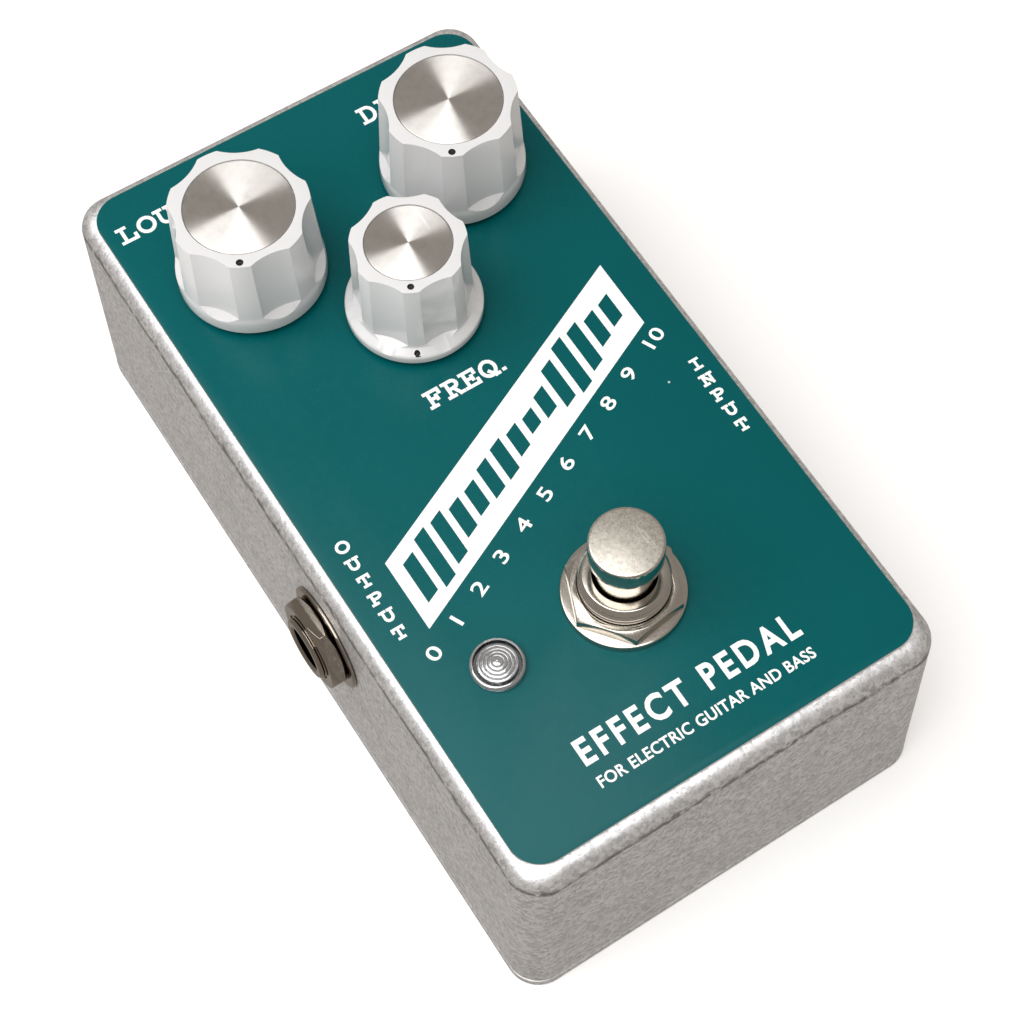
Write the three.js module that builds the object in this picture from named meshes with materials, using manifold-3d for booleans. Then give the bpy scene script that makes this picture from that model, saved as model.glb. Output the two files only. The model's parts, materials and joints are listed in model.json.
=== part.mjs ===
// Guitar effects pedal: a die-cast aluminium box with three knobs, a foot switch, a status lamp,
// two 6.35 mm jacks on its sides and a power inlet at the rear.
// Millimetres. +X is the player's right, +Y runs to the rear of the box (the knob end), +Z is up.
// The origin is the middle of the underside.

import * as THREE from 'three';
import { mergeVertices } from 'three/addons/utils/BufferGeometryUtils.js';
import Module from 'manifold-3d';

const manifoldLibrary = await Module();
manifoldLibrary.setup();

// ---------------------------------------------------------------- driving dimensions

const BOX_WIDTH = 66;
const BOX_LENGTH = 121;
const BOX_HEIGHT = 39.3;
const BOX_DRAFT = 1.2; // how far each wall leans in over the full height
const BOX_CORNER = 4.6;
const BOX_TOP_ROUND = 2.6;
const WALL = 2.2;

const BASE_THICKNESS = 1.6;
const SEAM = 0.15; // gap between the base plate and the shell
const RIM_HEIGHT = 2;
const RIM_THICKNESS = 1.2;
const BOSS_RADIUS = 4;
const BOSS_X = 27.4;
const BOSS_Y = 54.9;
const BOSS_DEPTH = 12;
const BASE_SCREW = { shank: 1.5, head: 2.8, length: 11, hole: 1.7 };

const PLATE_WIDTH = 60.3;
const PLATE_LENGTH = 113.9;
const PLATE_CORNER = 4.4;
const PLATE_THICKNESS = 0.75;
const PLATE_TOP = BOX_HEIGHT + 0.05 + PLATE_THICKNESS;

const POINTER_ANGLE = THREE.MathUtils.degToRad(-118.5); // knobs rest fully anticlockwise
const LARGE_KNOB = { base: 10.2, lowLobe: 9.9, topLobe: 9.4, flute: 0.95, cap: 7.3, skirt: 2.2, dot: 8.65 };
const SMALL_KNOB = { base: 9.4, lowLobe: 8.0, topLobe: 7.75, flute: 0.75, cap: 5.75, skirt: 1.2, dot: 6.75 };
const CONTROLS = [
  { name: 'loudness', x: -15.6, y: 35.7, knob: LARGE_KNOB, tabAngle: 0, skirtDot: false },
  { name: 'drive', x: 16.4, y: 35.8, knob: LARGE_KNOB, tabAngle: 0, skirtDot: false },
  { name: 'tone', x: 0.1, y: 19.2, knob: SMALL_KNOB, tabAngle: Math.PI, skirtDot: true },
];
const KNOB_BOTTOM = PLATE_TOP + 1;
const KNOB_TOP = PLATE_TOP + 15.85;
const KNOB_LOBES = 7;

const POT = { can: 8.25, canBottom: 29, bushing: 3.45, bushingTop: PLATE_TOP + 4, shaft: 3, bore: 3.1 };
const POT_HOLE = 3.7;

const FOOTSWITCH = { x: 0.4, y: -31.6, bushing: 6, bore: 4.15, stem: 4, head: 4.85, body: 17 };
const FOOTSWITCH_HOLE = 6.2;
const SWITCH_NUT_TURN = THREE.MathUtils.degToRad(38); // corners at 8 degrees from +X and every 60

const LAMP = { x: -18.55, y: -31.5, rim: 3.6, stem: 2.9, bulb: 1.5 };

const JACK = { y: -10, bushing: 4.7, bore: 3.25, washer: 7.7, acrossFlats: 12.7, flange: 8.4 };
const JACK_HEIGHTS = { output: 25, input: 20.8 };
const JACK_HOLE = 5;
const JACK_NUT_TURN = THREE.MathUtils.degToRad(8.8);
const INLET = { z: 14, flange: 7, barrel: 5.8, bore: 2.9, pin: 1, depth: 10.5 };
const INLET_HOLE = 6.1;

const BOARD = { left: -24.5, right: 24.5, front: 4.5, rear: 50.5, bottom: 24, top: 25.6 };
const FIT = 0.1; // clearance between pieces that touch

const TILT = Math.atan(BOX_DRAFT / BOX_HEIGHT); // lean of the drafted walls
const ROOF = BOX_HEIGHT - WALL;

// ---------------------------------------------------------------- materials

function material(color, roughness, metalness) {
  return new THREE.MeshStandardMaterial({ color, roughness, metalness });
}

const LOOK = {
  castAluminium: material(0xbdb9b4, 0.45, 1),
  tealPaint: material(0x00686c, 0.35, 0),
  spunAluminium: material(0xd8d4cf, 0.25, 1),
  whitePlastic: material(0xf2f2f0, 0.18, 0),
  nickel: material(0xcfc9bf, 0.14, 1),
  steel: material(0xa8a8a6, 0.35, 1),
  brass: material(0xc9a24a, 0.3, 1),
  zinc: material(0xb4b4b0, 0.4, 1),
  phenolic: material(0x6b4226, 0.6, 0),
  bluePlastic: material(0x1c4fa0, 0.4, 0),
  blackPlastic: material(0x151515, 0.4, 0),
  clearPlastic: material(0xe9eceb, 0.08, 0),
  boardGreen: material(0x14502c, 0.45, 0),
  redWire: material(0xb01818, 0.5, 0),
  yellowWire: material(0xd8b020, 0.5, 0),
  greenWire: material(0x1c7c3c, 0.5, 0),
};

// ---------------------------------------------------------------- geometry helpers

// A geometry becomes one welded triangle list with its faces turned outward.
function weld(geometry) {
  const bare = geometry.index ? geometry.toNonIndexed() : geometry.clone();
  bare.deleteAttribute('normal');
  bare.deleteAttribute('uv');
  const merged = mergeVertices(bare, 1e-4);
  const position = merged.attributes.position;
  const index = merged.index;
  const triangles = [];
  const corner = [new THREE.Vector3(), new THREE.Vector3(), new THREE.Vector3()];
  let volume = 0;
  for (let i = 0; i < index.count; i += 3) {
    const [a, b, c] = [index.getX(i), index.getX(i + 1), index.getX(i + 2)];
    if (a === b || b === c || c === a) continue;
    triangles.push([a, b, c]);
    [a, b, c].forEach((vertex, k) => corner[k].fromBufferAttribute(position, vertex));
    volume += corner[0].dot(corner[1].clone().cross(corner[2]));
  }
  if (volume < 0) triangles.forEach((triangle) => triangle.reverse());
  merged.setIndex(triangles.flat());
  return merged;
}

function toSolid(geometry) {
  const welded = weld(geometry);
  const vertProperties = new Float32Array(welded.attributes.position.array);
  const triVerts = new Uint32Array(welded.index.array);
  const mesh = new manifoldLibrary.Mesh({ numProp: 3, vertProperties, triVerts });
  return new manifoldLibrary.Manifold(mesh);
}

function toGeometry(solid) {
  const mesh = solid.getMesh();
  const geometry = new THREE.BufferGeometry();
  geometry.setAttribute('position', new THREE.BufferAttribute(mesh.vertProperties, 3));
  geometry.setIndex(new THREE.BufferAttribute(mesh.triVerts, 1));
  return geometry;
}

function combine(first, others, operation) {
  return others.reduce((solid, next) => solid[operation](toSolid(next)), first);
}

// join, then cut: every shape is given as a three.js geometry
function build(joined, cuts = []) {
  const whole = combine(toSolid(joined[0]), joined.slice(1), 'add');
  return toGeometry(combine(whole, cuts, 'subtract'));
}

function overlap(first, second) {
  return toGeometry(toSolid(first).intersect(toSolid(second)));
}

// profile of [radius, height] pairs turned about Z
function lathe(profile, segments = 24) {
  const points = profile.map(([radius, height]) => new THREE.Vector2(radius, height));
  return new THREE.LatheGeometry(points, segments).rotateX(Math.PI / 2);
}

function disc(radius, low, high, segments = 24) {
  return lathe([[0, low], [radius, low], [radius, high], [0, high]], segments);
}

function ring(inner, outer, low, high, segments = 24) {
  const profile = [[inner, low], [outer, low], [outer, high], [inner, high], [inner, low]];
  return lathe(profile, segments);
}

function block(low, high) {
  const size = high.map((value, axis) => value - low[axis]);
  const middle = high.map((value, axis) => (value + low[axis]) / 2);
  return new THREE.BoxGeometry(...size).translate(...middle);
}

function roundedOutline(width, length, radius, cornerSteps = 5) {
  const points = [];
  const centres = [[1, 1], [-1, 1], [-1, -1], [1, -1]];
  centres.forEach(([sideX, sideY], quarter) => {
    for (let step = 0; step <= cornerSteps; step += 1) {
      const angle = (quarter + step / cornerSteps) * Math.PI / 2;
      const x = sideX * (width / 2 - radius) + radius * Math.cos(angle);
      const y = sideY * (length / 2 - radius) + radius * Math.sin(angle);
      points.push(new THREE.Vector2(x, y));
    }
  });
  return points;
}

// closed skin over a stack of outlines that all have the same number of points
function loft(layers) {
  const vertices = [];
  const index = [];
  const count = layers[0].outline.length;
  layers.forEach(({ outline, z }) => outline.forEach(({ x, y }) => vertices.push(x, y, z)));
  for (let layer = 0; layer < layers.length - 1; layer += 1) {
    for (let i = 0; i < count; i += 1) {
      const low = layer * count;
      const next = (i + 1) % count;
      index.push(low + i, low + next, low + count + next, low + i, low + count + next, low + count + i);
    }
  }
  const bottomHub = vertices.length / 3;
  vertices.push(0, 0, layers[0].z, 0, 0, layers.at(-1).z);
  const top = (layers.length - 1) * count;
  for (let i = 0; i < count; i += 1) {
    const next = (i + 1) % count;
    index.push(bottomHub, next, i, bottomHub + 1, top + i, top + next);
  }
  const geometry = new THREE.BufferGeometry();
  geometry.setAttribute('position', new THREE.Float32BufferAttribute(vertices, 3));
  geometry.setIndex(index);
  return geometry;
}

function slab(width, length, radius, low, high, cornerSteps = 5) {
  const outline = roundedOutline(width, length, radius, cornerSteps);
  return loft([{ outline, z: low }, { outline, z: high }]);
}

// hexagon nut about Z with its outer corners turned down at the ends that are asked for
function hexNut({ acrossFlats, bore, low, high, chamferLow = 0, chamferHigh = 0 }) {
  const corner = acrossFlats / Math.sqrt(3);
  const hexagon = disc(corner, low, high, 6);
  const flat = acrossFlats / 2 - 0.05;
  const turned = lathe([
    [0, low], [chamferLow ? flat : corner, low], [corner + 0.01, low + chamferLow],
    [corner + 0.01, high - chamferHigh], [chamferHigh ? flat : corner, high], [0, high],
  ]);
  const blank = chamferLow || chamferHigh ? overlap(hexagon, turned) : hexagon;
  return build([blank], [disc(bore, low - 1, high + 1)]);
}

function wire(points, radius, steps) {
  const curve = new THREE.CatmullRomCurve3(points.map((point) => new THREE.Vector3(...point)));
  const section = new THREE.Shape();
  section.absarc(0, 0, radius, 0, 2 * Math.PI);
  const settings = { steps, extrudePath: curve, bevelEnabled: false, curveSegments: 3 };
  return new THREE.ExtrudeGeometry(section, settings);
}

// strip of constant width along a bent line in the XZ plane
function bentStrip(line, width, thickness) {
  const middle = line.map(([x, z]) => new THREE.Vector2(x, z));
  const side = (sign) => middle.map((point, i) => {
    const before = middle[Math.max(i - 1, 0)];
    const after = middle[Math.min(i + 1, middle.length - 1)];
    const along = after.clone().sub(before).normalize();
    return new THREE.Vector2(-along.y, along.x).multiplyScalar(sign * thickness / 2).add(point);
  });
  const outline = new THREE.Shape([...side(1), ...side(-1).reverse()]);
  const settings = { depth: width, bevelEnabled: false };
  return new THREE.ExtrudeGeometry(outline, settings).translate(0, 0, -width / 2).rotateX(Math.PI / 2);
}

const pedal = new THREE.Group();

function add(name, geometry, look, parent = pedal) {
  const mesh = new THREE.Mesh(weld(geometry), look);
  mesh.name = name;
  parent.add(mesh);
}

// ---------------------------------------------------------------- box, face plate and base

const leanIn = (z) => BOX_DRAFT * z / BOX_HEIGHT;

function boxOutline(inset, z, radius) {
  const loss = 2 * (inset + leanIn(z));
  return roundedOutline(BOX_WIDTH - loss, BOX_LENGTH - loss, radius);
}

function boxBody() {
  const layers = [{ outline: boxOutline(0, BASE_THICKNESS + SEAM, BOX_CORNER), z: BASE_THICKNESS + SEAM }];
  const roundSteps = 4;
  for (let step = 0; step <= roundSteps; step += 1) {
    const angle = step / roundSteps * Math.PI / 2;
    const inset = BOX_TOP_ROUND * (1 - Math.cos(angle));
    const z = BOX_HEIGHT - BOX_TOP_ROUND * (1 - Math.sin(angle));
    layers.push({ outline: boxOutline(inset, z, BOX_CORNER - inset * 0.8), z });
  }
  return loft(layers);
}

function boxCavity() {
  const innerCorner = BOX_CORNER - 1.6;
  const heights = [0, ROOF - 1, ROOF];
  const insets = [WALL, WALL, WALL + 1];
  return loft(heights.map((z, i) => ({ outline: boxOutline(insets[i], z, innerCorner), z })));
}

const BOSS_PLACES = [[1, 1], [-1, 1], [-1, -1], [1, -1]].map(([sx, sy]) => [sx * BOSS_X, sy * BOSS_Y]);

function atBosses(makeGeometry) {
  return BOSS_PLACES.map(([x, y]) => makeGeometry().translate(x, y, 0));
}

// carries a shape from a wall's own frame (Z out of the wall) to its place on the box
function onSideWall(geometry, side) {
  const z = side < 0 ? JACK_HEIGHTS.output : JACK_HEIGHTS.input;
  const turned = geometry.clone().rotateZ(side > 0 ? Math.PI : 0).rotateY(side * (Math.PI / 2 - TILT));
  return turned.translate(side * (BOX_WIDTH / 2 - leanIn(z)), JACK.y, z);
}

function onRearWall(geometry) {
  const turned = geometry.clone().rotateX(TILT - Math.PI / 2);
  return turned.translate(0, BOX_LENGTH / 2 - leanIn(INLET.z), INLET.z);
}

function panelHoles(low, high) {
  const holes = CONTROLS.map(({ x, y }) => disc(POT_HOLE, low, high).translate(x, y, 0));
  holes.push(disc(FOOTSWITCH_HOLE, low, high).translate(FOOTSWITCH.x, FOOTSWITCH.y, 0));
  holes.push(disc(LAMP.stem + FIT, low, high).translate(LAMP.x, LAMP.y, 0));
  return holes;
}

function enclosureShell() {
  const start = BASE_THICKNESS + SEAM;
  const pillar = () => disc(BOSS_RADIUS, start, ROOF + 0.5, 20);
  const pilot = () => disc(BASE_SCREW.shank + FIT, start - 1, start + BOSS_DEPTH, 12);
  const hollow = toSolid(boxBody()).subtract(toSolid(boxCavity()));
  const withPillars = combine(hollow, atBosses(pillar), 'add').intersect(toSolid(boxBody()));
  const holes = [
    ...panelHoles(ROOF - 2, BOX_HEIGHT + 2),
    ...atBosses(pilot),
    onSideWall(disc(JACK_HOLE, -4, 2), 1),
    onSideWall(disc(JACK_HOLE, -4, 2), -1),
    onRearWall(disc(INLET_HOLE, -4, 2)),
  ];
  return toGeometry(combine(withPillars, holes, 'subtract'));
}

function facePlate() {
  const low = PLATE_TOP - PLATE_THICKNESS;
  const blank = slab(PLATE_WIDTH, PLATE_LENGTH, PLATE_CORNER, low, PLATE_TOP);
  return build([blank], panelHoles(low - 1, PLATE_TOP + 1));
}

function basePlate() {
  const rimTop = BASE_THICKNESS + RIM_HEIGHT;
  const rimInset = 2 * (WALL + leanIn(rimTop) + 0.3);
  const rimWidth = BOX_WIDTH - rimInset;
  const rimLength = BOX_LENGTH - rimInset;
  const corner = BOX_CORNER - 1.8;
  const rimLow = BASE_THICKNESS - 0.4;
  const hollowWidth = rimWidth - 2 * RIM_THICKNESS;
  const hollowLength = rimLength - 2 * RIM_THICKNESS;
  const inside = slab(hollowWidth, hollowLength, 2, BASE_THICKNESS, rimTop + 1);
  const bossRoom = () => disc(BOSS_RADIUS + 0.7, BASE_THICKNESS, rimTop + 1, 16);
  const rim = build([slab(rimWidth, rimLength, corner, rimLow, rimTop)], [inside, ...atBosses(bossRoom)]);
  const { head, hole } = BASE_SCREW;
  const mouth = head + 0.1;
  const seatProfile = [[0, -1], [mouth + 1, -1], [mouth, 0], [hole, mouth - hole], [hole, 3], [0, 3]];
  const seat = () => lathe(seatProfile, 12);
  return build([slab(BOX_WIDTH, BOX_LENGTH, BOX_CORNER, 0, BASE_THICKNESS), rim], atBosses(seat));
}

function baseScrew() {
  const { shank, head, length } = BASE_SCREW;
  const bottom = 0.08;
  const profile = [[0, bottom], [head, bottom], [shank, bottom + head - shank], [shank, length - 1]];
  const body = lathe([...profile, [shank * 0.4, length], [0, length]], 12);
  const slot = block([-1.6, -0.3, bottom - 1], [1.6, 0.3, bottom + 0.9]);
  return build([body], [slot, slot.clone().rotateZ(Math.PI / 2)]);
}

add('enclosure_shell', enclosureShell(), LOOK.castAluminium);
add('face_plate', facePlate(), LOOK.tealPaint);
add('base_plate', basePlate(), LOOK.castAluminium);
BOSS_PLACES.forEach(([x, y], i) => add(`base_screw_${i + 1}`, baseScrew().translate(x, y, 0), LOOK.steel));

// ---------------------------------------------------------------- rotary controls

// lobed outline: each lobe is a narrow ridge, and each flute between two lobes is a shallow scoop
function lobedOutline(lobeRadius, flute) {
  const stepsPerLobe = 6;
  const ridgeShare = 0.3;
  const points = [];
  for (let i = 0; i < KNOB_LOBES * stepsPerLobe; i += 1) {
    const phase = (i / stepsPerLobe) % 1;
    const fromRidge = Math.min(phase, 1 - phase) * 2;
    const inFlute = Math.max(0, (fromRidge - ridgeShare) / (1 - ridgeShare));
    const radius = lobeRadius - flute * Math.sin(inFlute * Math.PI / 2) ** 1.4;
    const angle = i / stepsPerLobe / KNOB_LOBES * 2 * Math.PI;
    points.push(new THREE.Vector2(radius * Math.cos(angle), radius * Math.sin(angle)));
  }
  return points;
}

function knobBody(size, hasSkirt) {
  const skirtTop = KNOB_BOTTOM + size.skirt;
  const shoulder = skirtTop + (hasSkirt ? 0.9 : 0.3);
  const runOut = skirtTop + (hasSkirt ? 1.3 : 2);
  const shoulderFlute = hasSkirt ? size.flute * 0.7 : 0;
  const layers = [
    { outline: lobedOutline(size.base, 0), z: KNOB_BOTTOM },
    { outline: lobedOutline(size.base, 0), z: skirtTop },
    { outline: lobedOutline(size.lowLobe, shoulderFlute), z: shoulder },
    { outline: lobedOutline(size.lowLobe - 0.02, size.flute), z: runOut },
    { outline: lobedOutline(size.topLobe, size.flute), z: KNOB_TOP - 0.6 },
    { outline: lobedOutline(size.topLobe - 0.18, size.flute * 0.95), z: KNOB_TOP - 0.2 },
    { outline: lobedOutline(size.topLobe - 0.6, size.flute * 0.8), z: KNOB_TOP },
  ];
  const hollowTop = KNOB_BOTTOM + 3.3;
  const cuts = [
    disc(6.15, KNOB_BOTTOM - 1, hollowTop, 20),
    disc(POT.bore, hollowTop - 1, KNOB_TOP - 2.6, 20),
    disc(size.cap + 0.12, KNOB_TOP - 0.75, KNOB_TOP + 1, 28),
    setScrewShape(size.base, FIT),
    disc(0.5, KNOB_TOP - 0.35, KNOB_TOP + 1, 6).translate(size.dot, 0, 0),
  ];
  if (hasSkirt) cuts.push(disc(0.45, skirtTop - 0.3, skirtTop + 2, 6).translate(8.85, 0, 0));
  return build([loft(layers)], cuts);
}

// grub screw along -X, at the back of the knob
function setScrewShape(reach, clearance) {
  const radius = 1.5 + clearance;
  const height = KNOB_BOTTOM + 6.2;
  const length = clearance ? reach : 4;
  const start = POT.bore + (clearance ? -0.6 : 0.15);
  return disc(radius, 0, length, 10).rotateY(-Math.PI / 2).translate(-start, 0, height);
}

function knobCap({ cap }) {
  const low = KNOB_TOP - 0.7;
  const high = KNOB_TOP - 0.03;
  return lathe([[0, low], [cap, low], [cap, high - 0.15], [cap - 0.15, high], [0, high]], 28);
}

function setScrew() {
  const socket = disc(0.8, -1, 1.2, 6).rotateY(Math.PI / 2).translate(-POT.bore - 4.15, 0, KNOB_BOTTOM + 6.2);
  return build([setScrewShape(0, 0)], [socket]);
}

function potBody() {
  const { can, canBottom, bushing, bushingTop, bore } = POT;
  const canTop = ROOF - FIT;
  const floor = canBottom + 2;
  const body = lathe([
    [0, canBottom], [can - 0.5, canBottom], [can, canBottom + 0.5], [can, canTop], [bushing, canTop],
    [bushing, bushingTop - 0.3], [bushing - 0.2, bushingTop], [bore, bushingTop], [bore, floor], [0, floor],
  ], 20);
  return build([body], [block([-6.2, 6, 32.8], [6.2, 10, 34.4])]);
}

// phenolic tab of the resistance track, with three lugs that turn down to the board
function potWafer() {
  const tab = block([-6.1, 6.3, 32.9], [6.1, 11.5, 34.3]);
  const lugs = [-4, 0, 4].map((x) => block([x - 0.8, 11, BOARD.top + 0.3], [x + 0.8, 11.8, 33.8]));
  return build([tab, ...lugs]);
}

function potShaft() {
  const { shaft, canBottom } = POT;
  const low = canBottom + 2.1;
  const high = KNOB_TOP - 2.8;
  return lathe([[0, low], [shaft, low], [shaft, high - 0.5], [shaft - 0.5, high], [0, high]], 20);
}

CONTROLS.forEach(({ name, x, y, knob, tabAngle, skirtDot }) => {
  const fixed = new THREE.Group();
  fixed.position.set(x, y, 0);
  const washerTop = PLATE_TOP + 0.45;
  const nutSize = { acrossFlats: 10, bore: POT.bushing + FIT, low: washerTop + 0.05, high: washerTop + 2.05 };
  add(`${name}_pot_body`, potBody().rotateZ(tabAngle), LOOK.zinc, fixed);
  add(`${name}_pot_terminals`, potWafer().rotateZ(tabAngle), LOOK.phenolic, fixed);
  add(`${name}_washer`, ring(POT.bushing + FIT, 5.6, PLATE_TOP + 0.05, washerTop, 20), LOOK.steel, fixed);
  add(`${name}_nut`, hexNut(nutSize), LOOK.nickel, fixed);

  const turning = new THREE.Group();
  turning.position.set(x, y, 0);
  turning.rotation.z = POINTER_ANGLE;
  add(`${name}_shaft`, potShaft(), LOOK.brass, turning);
  add(`${name}_knob`, knobBody(knob, skirtDot), LOOK.whitePlastic, turning);
  add(`${name}_knob_cap`, knobCap(knob), LOOK.spunAluminium, turning);
  add(`${name}_set_screw`, setScrew(), LOOK.steel, turning);
  pedal.add(fixed, turning);
});

// ---------------------------------------------------------------- foot switch

const SWITCH_FRAME_TOP = ROOF - 0.7;
const SWITCH_FRAME_BOTTOM = SWITCH_FRAME_TOP - 1.2;
const SWITCH_BODY_BOTTOM = 21.8;
const SWITCH_WELL = 30.2;
const STEM_BOTTOM = 39.6;
const SWITCH_NUT_FLANGE = 8.25;

function switchHousing() {
  const outer = slab(FOOTSWITCH.body, FOOTSWITCH.body, 1, SWITCH_BODY_BOTTOM, SWITCH_FRAME_BOTTOM - FIT, 2);
  return build([outer], [disc(FOOTSWITCH.bore, SWITCH_WELL, SWITCH_FRAME_TOP)]);
}

function switchTerminals() {
  const half = FOOTSWITCH.body / 2 - 0.2;
  const top = SWITCH_BODY_BOTTOM - FIT;
  const pieces = [block([-half, -half, top - 1.2], [half, half, top])];
  for (const x of [-5, 0, 5]) {
    for (const y of [-5, 0, 5]) {
      pieces.push(block([x - 1.1, y - 0.4, top - 5], [x + 1.1, y + 0.4, top - 1]));
    }
  }
  return build(pieces);
}

function switchBushing() {
  const half = FOOTSWITCH.body / 2;
  const top = PLATE_TOP + 6.15;
  const { bushing, bore } = FOOTSWITCH;
  const frame = slab(2 * half, 2 * half, 1, SWITCH_FRAME_BOTTOM, SWITCH_FRAME_TOP, 2);
  const tube = lathe([
    [0, SWITCH_FRAME_TOP - 0.5], [bushing, SWITCH_FRAME_TOP - 0.5], [bushing, top - 0.6],
    [bushing - 0.55, top], [0, top],
  ]);
  return build([frame, tube], [disc(bore, SWITCH_FRAME_BOTTOM - 1, top + 1)]);
}

function switchNut() {
  const bore = FOOTSWITCH.bushing + FIT;
  const low = PLATE_TOP + 0.05;
  const flangeTop = PLATE_TOP + 1.1;
  const rim = SWITCH_NUT_FLANGE;
  const edge = flangeTop - 0.3;
  const flange = lathe([[0, low], [rim, low], [rim, edge], [rim - 0.3, flangeTop], [0, flangeTop]], 28);
  const hexSize = { acrossFlats: 13.8, bore, low: edge, high: PLATE_TOP + 3.2, chamferHigh: 0.9 };
  const hexagon = hexNut(hexSize);
  return build([flange, hexagon.rotateZ(SWITCH_NUT_TURN)], [disc(bore, low - 1, PLATE_TOP + 4)]);
}

function switchButton() {
  const { stem, head } = FOOTSWITCH;
  const low = PLATE_TOP + 11.3;
  const top = PLATE_TOP + 15;
  return lathe([
    [0, STEM_BOTTOM], [stem - 0.3, STEM_BOTTOM], [stem, STEM_BOTTOM + 0.3], [stem, low],
    [head - 0.2, low], [head, low + 0.2], [head, top - 0.45], [head - 0.45, top], [0, top],
  ]);
}

function coilSpring(coilRadius, wireRadius, low, high, turns) {
  const stepsPerTurn = 10;
  const points = [];
  for (let i = 0; i <= turns * stepsPerTurn; i += 1) {
    const angle = i / stepsPerTurn * 2 * Math.PI;
    const z = low + wireRadius + (high - low - 2 * wireRadius) * i / (turns * stepsPerTurn);
    points.push([coilRadius * Math.cos(angle), coilRadius * Math.sin(angle), z]);
  }
  return wire(points, wireRadius, turns * stepsPerTurn);
}

const footswitch = new THREE.Group();
footswitch.position.set(FOOTSWITCH.x, FOOTSWITCH.y, 0);
add('footswitch_housing', switchHousing(), LOOK.bluePlastic, footswitch);
add('footswitch_terminals', switchTerminals(), LOOK.phenolic, footswitch);
add('footswitch_bushing', switchBushing(), LOOK.nickel, footswitch);
add('footswitch_washer', ring(6.3, 8.3, SWITCH_FRAME_TOP + FIT, ROOF - FIT), LOOK.steel, footswitch);
add('footswitch_nut', switchNut(), LOOK.nickel, footswitch);
add('footswitch_button', switchButton(), LOOK.nickel, footswitch);
const returnSpring = coilSpring(3.1, 0.35, SWITCH_WELL + 0.2, STEM_BOTTOM - 0.2, 5);
add('footswitch_spring', returnSpring, LOOK.steel, footswitch);
pedal.add(footswitch);

// ---------------------------------------------------------------- status lamp

function lampLens() {
  const { rim, stem, bulb } = LAMP;
  const seat = PLATE_TOP + 0.05;
  const crown = PLATE_TOP + 1.9;
  const lensBottom = ROOF - 2;
  return lathe([
    [bulb + 0.3, lensBottom], [stem, lensBottom], [stem, seat], [rim, seat], [rim, seat + 0.7],
    [rim * 0.86, seat + 1.1], [rim * 0.5, crown - 0.2], [0, crown], [0, seat - 0.4], [bulb + 0.3, seat - 1.6],
    [bulb + 0.3, lensBottom],
  ], 20);
}

function lampBulb() {
  const { bulb } = LAMP;
  const low = ROOF - 5;
  const shoulder = PLATE_TOP - 3;
  const glass = lathe([
    [0, low], [bulb + 0.15, low], [bulb + 0.15, low + 0.8], [bulb, low + 0.8], [bulb, shoulder],
    [bulb * 0.8, shoulder + 0.9], [0, shoulder + 1.3],
  ], 12);
  const leads = [-0.64, 0.64].map((x) => block([x - 0.25, -0.25, low - 7], [x + 0.25, 0.25, low + 0.4]));
  return build([glass, ...leads]);
}

add('lamp_lens', lampLens().translate(LAMP.x, LAMP.y, 0), LOOK.clearPlastic);
add('lamp_bulb', lampBulb().translate(LAMP.x, LAMP.y, 0), LOOK.clearPlastic);

// ---------------------------------------------------------------- jacks on the side walls

// In the wall's own frame Z points out of the box and the wall fills -WALL < z < 0.
const JACK_INNER = -WALL - 0.15;
const STACK_REAR = -10;

function jackFrame() {
  const { bushing, bore, flange } = JACK;
  const tip = 3.7;
  const tube = lathe([
    [0, JACK_INNER - 0.5], [bushing, JACK_INNER - 0.5], [bushing, tip - 0.4], [bushing - 0.4, tip], [0, tip],
  ]);
  const plate = disc(flange, JACK_INNER - 1.2, JACK_INNER);
  const arm = block([-flange + 0.6, -4.5, -13.5], [-flange + 1.6, 4.5, JACK_INNER - 0.6]);
  const stack = block([-flange + 1.4, -4, STACK_REAR], [-4.6, 4, JACK_INNER - 2]);
  const lug = block([-6.2, 3.8, -8.4], [-5.6, 8, -6.4]);
  return build([tube, plate, arm, stack, lug], [disc(bore, JACK_INNER - 2, tip + 1)]);
}

function jackSpring() {
  const root = STACK_REAR - 0.15;
  return bentStrip([[-5.9, root], [-5.6, -18], [-4.6, -20.5], [-2.7, -22.6], [-4.2, -25]], 3, 0.5);
}

[['output', -1], ['input', 1]].forEach(([name, side]) => {
  const { bushing, washer, acrossFlats } = JACK;
  const nutEnds = { low: 0.75, high: 2.95, chamferLow: 0.4, chamferHigh: 0.5 };
  const nut = hexNut({ acrossFlats, bore: bushing + FIT, ...nutEnds });
  const place = (geometry) => onSideWall(geometry, side);
  add(`${name}_jack_frame`, place(jackFrame()), LOOK.nickel);
  add(`${name}_jack_tip_spring`, place(jackSpring()), LOOK.brass);
  add(`${name}_jack_washer`, place(ring(bushing + FIT, washer, 0.15, 0.6)), LOOK.nickel);
  add(`${name}_jack_nut`, place(nut.rotateZ(JACK_NUT_TURN)), LOOK.nickel);
});

// ---------------------------------------------------------------- power inlet on the rear wall

function inletBody() {
  const { flange, barrel, bore, pin, depth } = INLET;
  const front = 2;
  const floor = -7.5;
  const body = lathe([
    [pin + FIT, -depth], [barrel, -depth], [barrel, 0.15], [flange, 0.15], [flange, front - 0.4],
    [flange - 0.4, front], [bore, front], [bore, floor], [pin + FIT, floor], [pin + FIT, -depth],
  ], 20);
  const lugs = [-4, 4].map((x) => block([x - 1, -0.3, -depth - 4], [x + 1, 0.3, -depth + 1]));
  return build([body, ...lugs]);
}

function inletPin() {
  const { pin, depth } = INLET;
  return lathe([[0, -depth - 3], [pin, -depth - 3], [pin, -0.3], [pin - 0.4, 0.2], [0, 0.2]], 12);
}

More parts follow.
